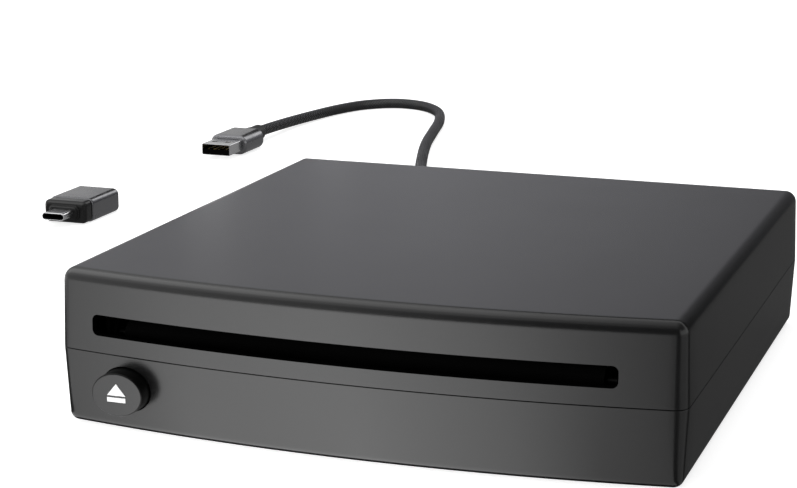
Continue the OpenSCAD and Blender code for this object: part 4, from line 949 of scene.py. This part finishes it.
def new_material(name):
    """A material with its tree of nodes and the Principled shader in it."""
    material = bpy.data.materials.new(name)
    material.use_nodes = True
    return material, material.node_tree, material.node_tree.nodes["Principled BSDF"]


print("materials so far:", len(bpy.data.materials))

# %% Making a finish
def finish(group, name, fineness, colour, roughness, spread, swing, bump, depth, specular=0.5, metal=0.0, coat=0.0):
    """A material from a shared effect: fineness is the group's own input, spread the share by which the colour
    swings below and above the written one, swing the same for the roughness, depth the bump's in mm."""
    material, tree, shader = new_material(name)
    effect = tree.nodes.new("ShaderNodeGroup")
    effect.node_tree = group
    effect.inputs[0].default_value = fineness
    darker, lighter = ([min(c * side, 1) for c in colour] for side in (1 - spread, 1 + spread))
    tree.links.new(colours(tree, effect.outputs["Tone"], darker, lighter), shader.inputs["Base Color"])
    gloss = ranged(tree, effect.outputs["Smudge"], 0, 1, roughness - swing, roughness + swing)
    tree.links.new(gloss, shader.inputs["Roughness"])
    emboss(tree, effect.outputs["Height"], shader, bump, depth)
    shader.inputs["Metallic"].default_value = metal
    shader.inputs["Specular IOR Level"].default_value = specular
    shader.inputs["Coat Weight"].default_value = coat
    return material


def grey(level, tint=1.0):
    """A neutral colour with a slightly raised or lowered blue."""
    return (level, level, level * tint)


print("a grey of a fifth:", grey(0.2))

# %% [markdown]
# The finishes are then two tables, one for what is moulded and one for bare metal. The case is a deep black,
# and nearly all that is seen of it is gloss. What can be seen through the slot has no gloss at all, and the
# slot's own cut edge is painted near-black as painted shade, so that the slot stays dark.

# %% The table of finishes
# name, grains or lines per metre, colour, roughness, spread, swing, bump, depth, specular level
MOULDED = [
    ("case_plastic", 2400, grey(0.005, 1.03), 0.25, 0.1, 0.005, 0.3, 0.03),
    ("button_plastic", 3000, grey(0.005, 1.03), 0.36, 0.1, 0.02, 0.2, 0.02),
    ("button_wall", 1500, grey(0.003), 0.3, 0.15, 0.05, 0.05, 0.02, 0.12),
    ("white_print", 4000, grey(0.86), 0.55, 0.03, 0.05, 0.2, 0.01),
    ("foot_rubber", 1800, grey(0.022), 0.78, 0.15, 0.08, 0.5, 0.05, 0.3),
    ("cord_rubber", 2200, grey(0.02), 0.5, 0.15, 0.08, 0.4, 0.04),
    ("gloss_black", 1200, grey(0.008), 0.2, 0.15, 0.05, 0.05, 0.02, 0.3),
    ("black_plastic", 2600, grey(0.002, 1.05), 0.55, 0.15, 0.06, 0.3, 0.03, 0.0),
    ("roller_rubber", 1600, grey(0.002), 0.9, 0.15, 0.08, 0.5, 0.06, 0.0),
    ("ivory_plastic", 2200, (0.66, 0.62, 0.5), 0.45, 0.06, 0.06, 0.2, 0.03),
    ("gear_plastic", 2200, (0.7, 0.68, 0.6), 0.42, 0.05, 0.06, 0.2, 0.03),
    ("board_green", 1500, (0.012, 0.09, 0.03), 0.36, 0.25, 0.06, 0.2, 0.03),
    ("chip_black", 3500, grey(0.014), 0.55, 0.2, 0.06, 0.3, 0.03),
]
METALS = [
    ("dark_screw", 5000, grey(0.05), 0.42, 0.15, 0.08, 0.2, 0.02),
    ("zinc_screw", 5000, (0.55, 0.56, 0.58), 0.34, 0.1, 0.08, 0.2, 0.02),
    ("sheet_steel", 3000, (0.5, 0.51, 0.52), 0.38, 0.12, 0.08, 0.2, 0.02),
    ("motor_can", 3500, (0.52, 0.53, 0.55), 0.32, 0.1, 0.08, 0.2, 0.02),
    ("cap_grey", 4000, (0.3, 0.32, 0.36), 0.36, 0.1, 0.06, 0.2, 0.02),
    ("bright_shaft", 8000, (0.66, 0.66, 0.68), 0.22, 0.06, 0.06, 0.15, 0.01),
    ("brass_gear", 5000, (0.72, 0.52, 0.2), 0.3, 0.1, 0.08, 0.2, 0.02),
    ("plug_grey", 7000, (0.24, 0.24, 0.25), 0.26, 0.08, 0.03, 0.15, 0.015),
    ("plug_nickel", 9000, (0.72, 0.72, 0.73), 0.2, 0.05, 0.05, 0.12, 0.01),
    ("contact_gold", 9000, (0.83, 0.6, 0.2), 0.25, 0.06, 0.06, 0.12, 0.01),
]
# The drive's sheet parts that show through the slot are near-black and without gloss, so that the slot stays dark.
near_black_sheet = ("black_sheet", 3000, grey(0.002), 0.6, 0.15, 0.08, 0.2, 0.02, 0.0)
clear_lens = ("lens_glass", 600, (0.05, 0.09, 0.22), 0.08, 0.2, 0.03, 0.02, 0.01)
finishes = {row[0]: finish(grain_group, *row) for row in MOULDED}
finishes |= {row[0]: finish(drawn_group, *row, metal=1.0) for row in METALS}
finishes["black_sheet"] = finish(drawn_group, *near_black_sheet)
finishes["lens_glass"] = finish(grain_group, *clear_lens, coat=1.0)
print(len(finishes), "finishes")

# %% [markdown]
# ## The weave's finish
#
# The sleeve's UV map gives the turn and the distance, and the same sums as in the mesh tell which set of
# strands is on top. Strands are black thread. Their colour, the thread's own black on the crowns, is painted
# down to nearly black towards the gaps and where a strand dips under, as painted shade of the weave's relief.
# Each strand gleams only in the middle of the short dash that lies on top, so its gloss is a coat whose weight
# follows a hump across the strand times a hump along it. A fine stripe along each strand stands for its single threads.

# %% Sleeve of the lead
weave, tree, shader = new_material("woven_sleeve")
uv = tree.nodes.new("ShaderNodeUVMap")
uv.uv_map = "sleeve"
parts = tree.nodes.new("ShaderNodeSeparateXYZ")
tree.links.new(uv.outputs["UV"], parts.inputs[0])
turns = reckon(tree, "MULTIPLY", parts.outputs["X"], float(STRANDS))
cells = reckon(tree, "DIVIDE", parts.outputs["Y"], WEAVE_CELL)
set_a, set_b = reckon(tree, "ADD", turns, cells), reckon(tree, "SUBTRACT", turns, cells)
whole = reckon(tree, "ADD", reckon(tree, "FLOOR", set_a), reckon(tree, "FLOOR", set_b))
second = reckon(tree, "FLOORED_MODULO", whole, 2.0)
choice = tree.nodes.new("ShaderNodeMix")
for link, socket in zip((second, set_a, set_b), (choice.inputs[0], choice.inputs[2], choice.inputs[3])):
    tree.links.new(link, socket)
top_strand = choice.outputs[0]
under_strand = reckon(tree, "SUBTRACT", reckon(tree, "ADD", set_a, set_b), top_strand)
print("weave of", 2 * STRANDS, "strands, cells of", WEAVE_CELL, "mm")

# %% Gleam of the strands
# The colour of the gaps is painted shade: the thread's black falls to nearly black there.
GAP_SHADE, THREAD_BLACK = (0.001, 0.001, 0.001), (0.06, 0.06, 0.063)
GLEAM_POWER, THREADS, THREAD_SHARE, GLEAM_PATCHES = 1.4, 5, 0.06, 900


def wave(value, turns_each):
    """A sine that makes a number of half turns over each whole step of a value."""
    return reckon(tree, "SINE", reckon(tree, "MULTIPLY", reckon(tree, "FRACT", value), turns_each * math.pi))


lit = reckon(tree, "POWER", reckon(tree, "MULTIPLY", wave(top_strand, 1), wave(under_strand, 1)), GLEAM_POWER)
lit = reckon(tree, "ADD", lit, reckon(tree, "MULTIPLY", wave(top_strand, 2 * THREADS), THREAD_SHARE))
patches = noise(tree, tree.nodes.new("ShaderNodeTexCoord").outputs["Object"], GLEAM_PATCHES, 2)
lit = reckon(tree, "ADD", lit, ranged(tree, patches, 0.3, 0.7, -0.1, 0.1))
# Base colour as painted shade: the thread's own black on the crowns, falling to nearly black in the gaps and where a
# strand dips under.
tree.links.new(colours(tree, lit, GAP_SHADE, THREAD_BLACK), shader.inputs["Base Color"])
tree.links.new(ranged(tree, lit, 0, 1, 0.7, 0.3), shader.inputs["Roughness"])
tree.links.new(ranged(tree, lit, 0.15, 0.8, 0, 1), shader.inputs["Coat Weight"])
for label, value in {"Specular IOR Level": 0.1, "Coat Roughness": 0.3, "Coat IOR": 2.0}.items():
    shader.inputs[label].default_value = value
emboss(tree, lit, shader, 0.5, 0.06)
finishes["braid"] = weave
print("weave has", len(tree.nodes), "nodes")

# %% [markdown]
# ## Dressing every piece
#
# Each new piece carries the name of the finish it takes, and the record gives the same for each CAD node
# that still shows. Two pieces have a second finish on the same mesh: the button's wall, found by how far its
# faces look forward, and the cut edge of the slot, found by its place, which is painted near-black with the
# black of the parts inside as painted shade in the slot.

# %% Put on the finishes
FACE_TURN, SLOT_TURN, SLOT_MARGIN = -0.97, -0.5, 0.05


def per_face(mesh, label):
    """One vector for each face of a mesh, such as its normal or its centre."""
    values = np.empty(len(mesh.polygons) * 3, np.float32)
    mesh.polygons.foreach_get(label, values)
    return values.reshape(-1, 3)


def second_finish(piece, name, faces):
    """Gives the faces of a mask another finish."""
    piece.data.materials.append(finishes[name])
    piece.data.polygons.foreach_set("material_index", faces.astype(np.int32))
    print(piece.name, "has", int(faces.sum()), "faces in", name)


slot_of = {part["node"]: part["material_slot"] for part in frame["record"]["subparts"]}
dressed = [(node, slot_of[name]) for name, node in nodes.items()]
dressed += [(piece, piece["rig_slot"]) for piece in pieces.values()]
for piece, slot in dressed:
    piece.data.materials.clear()
    piece.data.materials.append(finishes[slot])
pieces["adapter_front"].data.materials[0] = finishes["gloss_black"]
second_finish(button, "button_wall", per_face(button.data, "normal")[:, 1] > FACE_TURN)
# The slot's cut edge, found by its place and by facing inward, is painted near-black: painted shade inside the slot.
middle = per_face(upper.data, "center") / MM
within = np.abs(middle[:, [0, 2]] - [SLOT_X, SLOT_Z]) < np.array([SLOT_W, SLOT_H]) / 2 + SLOT_MARGIN
turned_in = per_face(upper.data, "normal")[:, 1] > SLOT_TURN
second_finish(upper, "black_plastic", within.all(1) & (middle[:, 1] < 0) & turned_in)
print(len(nodes), "CAD nodes and", len(pieces), "new pieces dressed")

# %% [markdown]
# ## Floor and light
#
# The object stands on plain white paper. The paper and the world are white to the camera and to anything that
# mirrors them, and give an ordinary soft light to everything else. A floor could simply be lit until it is
# white, but then the object would be lit too strongly as well, so Light Path tells the two apart.

# %% Floor
PAPER, PAPER_GLOW = 3000, 0.75


def level_corners(x0, x1, y0, y1, z):
    """The four corners of a rectangle that lies level."""
    return [[x0, y0, z], [x1, y0, z], [x1, y1, z], [x0, y1, z]]


def seen_or_mirrored(tree):
    """One for a ray from the camera, or one that a gloss or a glass sends on, and nought for the rest."""
    path = tree.nodes.new("ShaderNodeLightPath")
    seen = reckon(tree, "MAXIMUM", path.outputs["Is Camera Ray"], path.outputs["Is Glossy Ray"])
    return reckon(tree, "MAXIMUM", seen, path.outputs["Is Transmission Ray"])


paper_mesh = make_mesh("white_paper", level_corners(-PAPER, PAPER, -PAPER, PAPER, 0), [[0, 1, 2, 3]])
paper = bpy.data.objects.new("white_paper", paper_mesh)
scene.collection.objects.link(paper)
paper_finish, tree, shader = new_material("white_paper")
shader.inputs["Base Color"].default_value = (0.85, 0.85, 0.85, 1)
shader.inputs["Roughness"].default_value = 0.9
shader.inputs["Specular IOR Level"].default_value = 0.1
shader.inputs["Emission Color"].default_value = (1, 1, 1, 1)
tree.links.new(reckon(tree, "MULTIPLY", seen_or_mirrored(tree), PAPER_GLOW), shader.inputs["Emission Strength"])
paper_mesh.materials.append(paper_finish)
print("floor of", 2 * PAPER, "mm in place")

# %% [markdown]
# Two soft lamps at a plain level light the object, one low at the front left and a broad one above. They are
# hidden from gloss, because cards take care of what the surfaces mirror.

# %% World and lamps
SOFT_LEVEL = 0.4
world = bpy.data.worlds.new("studio")
scene.world = world
world.use_nodes = True
tree = world.node_tree
plain = tree.nodes["Background"]
plain.inputs["Color"].default_value = (1, 1, 1, 1)
tree.links.new(ranged(tree, seen_or_mirrored(tree), 0, 1, SOFT_LEVEL, 1.0), plain.inputs["Strength"])


def soft_lamp(name, place_mm, aim_mm, width_mm, height_mm, watts):
    """A rectangular area lamp at a place, turned to a point, its height as near upright as that allows."""
    light = bpy.data.lights.new(name, "AREA")
    light.shape, light.size, light.size_y, light.energy = "RECTANGLE", width_mm * MM, height_mm * MM, watts
    lamp = bpy.data.objects.new(name, light)
    away = np.array(place_mm, float) - np.array(aim_mm, float)
    away /= np.linalg.norm(away)
    level = np.cross([0, 0, 1], away)
    level /= np.linalg.norm(level)
    pose = np.eye(4)
    pose[:3] = np.column_stack([level, np.cross(away, level), away, np.array(place_mm) * MM])
    lamp.matrix_world = Matrix(pose.tolist())
    lamp.visible_camera = lamp.visible_glossy = False
    scene.collection.objects.link(lamp)


soft_lamp("front_low", (-290, -800, 160), (0, -70, 20), 400, 250, 4.5)
soft_lamp("above", (-250, 150, 1300), (0, 0, 20), 900, 900, 7)

# %% [markdown]
# A photographer of dark satin things draws them with card and light: what the gloss mirrors is what the
# viewer sees. A fan of light on the table in front, brightest towards the left, lays one broad gleam on the
# bowed front; dark stretches beside it draw the lines of the corner and of the left end, and keep the
# right-hand side deep. A graded and slightly cool card behind does the same for the top, and cards overhead
# draw the two lines of its rounded edge. Small ones beside and behind the plug and the adapter darken their
# sides and give each a line of light along its edge. The cards are hidden from the camera and from the
# light that falls on the object, so they change its reflections and nothing else.

# %% Card
CARD_BLACK, CARD_ROUGH = (0.01, 0.01, 0.01, 1), 0.9
WHITE_LIGHT, COOL_LIGHT, NO_LIGHT = (1, 1, 1), (0.985, 0.985, 1.05), [(0, 0), (1, 0)]


def stepped(tree, value, stops):
    """A number that runs evenly from stop to stop: each stretch adds its own rise and is flat outside it."""
    total = stops[0][1]
    for (start, low), (end, high) in zip(stops, stops[1:]):
        total = reckon(tree, "ADD", total, ranged(tree, value, start, end, 0, high - low))
    return total


def card(name, corners, stops=NO_LIGHT, centre=None, light=WHITE_LIGHT):
    """A flat card by its corners in millimetres, seen by reflections alone. Its glow runs from stop to stop
    along X in millimetres or, about a centre, by the angle in degrees from straight ahead to the right."""
    material, tree, shader = new_material(name)
    shader.inputs["Base Color"].default_value = CARD_BLACK
    shader.inputs["Roughness"].default_value = CARD_ROUGH
    shader.inputs["Emission Color"].default_value = (*light, 1)
    spot = tree.nodes.new("ShaderNodeSeparateXYZ")
    tree.links.new(tree.nodes.new("ShaderNodeTexCoord").outputs["Object"], spot.inputs[0])
    measure = reckon(tree, "DIVIDE", spot.outputs["X"], MM)
    if centre:
        aside = reckon(tree, "SUBTRACT", spot.outputs["X"], centre[0] * MM)
        ahead = reckon(tree, "SUBTRACT", centre[1] * MM, spot.outputs["Y"])
        measure = reckon(tree, "DEGREES", reckon(tree, "ARCTAN2", aside, ahead))
    tree.links.new(stepped(tree, measure, stops), shader.inputs["Emission Strength"])
    mesh = make_mesh(name, corners, [list(range(len(corners)))])
    mesh.materials.append(material)
    sheet = bpy.data.objects.new(name, mesh)
    sheet.visible_camera = sheet.visible_diffuse = sheet.visible_shadow = False
    scene.collection.objects.link(sheet)
    print(name, "glows at most", max(glow for at, glow in stops))


print("stops of a card without light:", NO_LIGHT)

# %% Level and upright cards
def level_card(name, x0, x1, y0, y1, z, *glow):
    """A card that lies level."""
    card(name, level_corners(x0, x1, y0, y1, z), *glow)


def upright_card(name, x0, x1, y, z0, z1, *glow):
    """A card that stands across the Y axis."""
    card(name, [[x0, y, z0], [x1, y, z0], [x1, y, z1], [x0, y, z1]], *glow)


def even_light(glow):
    """Stops of a card that glows the same all over."""
    return [(0, glow), (1, glow)]


print("stops of an even light:", even_light(0.2))

# %% Cards round the case
FAN_CENTRE, CORNER = (57, 44), (73.5, -68)
front_fan = [
    (-58, 0.78), (-49, 1.55), (-43, 2.22), (-39, 2.95), (-24, 3.57), (-9, 2.38), (0, 1.18), (8, 0.78),
]
corner_fan = [
    (7, 0.6), (10, 0.02), (40, 0.02), (54, 0.38), (116, 0.38), (126, 0.02), (156, 0.02), (164, 0.075),
]
corner_cut = [CORNER, (214, -957), (1200, -957), (1200, 1200), (CORNER[0], 1200)]
front_light = [(-820, 0.9), (-600, 0.75), (-250, 0.45), (-50, 0.04), (60, 0.0)]
back_light = [(-330, 0.43), (-200, 0.46), (-40, 0.29), (60, 0.155), (215, 0.06), (290, 0.01)]
back_high_light = [(-450, 0.5), (-250, 0.25), (-120, 0.0)]
ceiling_light = [
    (-300, 2.4), (-190, 2.25), (-115, 1.8), (-50, 1.65), (10, 1.0), (60, 0.6), (200, 0.15),
]
half_ceiling = [(x, glow / 2) for x, glow in ceiling_light]
card("card_under", [[x, y, 0.3] for x, y in case_outline([1.0])[0].tolist()])
level_card("card_left", -215, -78, -75, 62, 0.22)
level_card("card_fan", -600, 260, -740, -60, 0.2, front_fan, FAN_CENTRE)
card("card_corner", [[x, y, 0.25] for x, y in corner_cut], corner_fan, CORNER)
upright_card("card_front", -1100, 700, -760, 0, 1000, front_light)
upright_card("card_back", -900, 900, 560, 0, 330, back_light, None, COOL_LIGHT)
upright_card("card_back_high", -900, 900, 620, 330, 750, back_high_light)
level_card("card_ceiling", -600, 600, -170, 70, 330, ceiling_light)
level_card("card_ceiling_front", -600, 600, -330, -170, 330, half_ceiling)

# %% Cards for the plug, the adapter and the lead
edge_light = [(-196, 0.03), (-170, 0.03), (-165, 1.7), (-151, 1.7), (-146, 0.3)]
level_card("card_plug", -215, -105, 30, 350, 0.2, even_light(0.22))
level_card("card_lead", -190, -20, 90, 430, 0.18, even_light(0.1))
upright_card("card_plug_back", -330, -187, 300, 0, 75, [(-330, 0.55), (-187, 0.5)])
upright_card("card_adapter_edge", -196, -146, 187, 22, 60, edge_light)
upright_card("card_plug_edge", -196, -146, 312, 18, 55, edge_light)
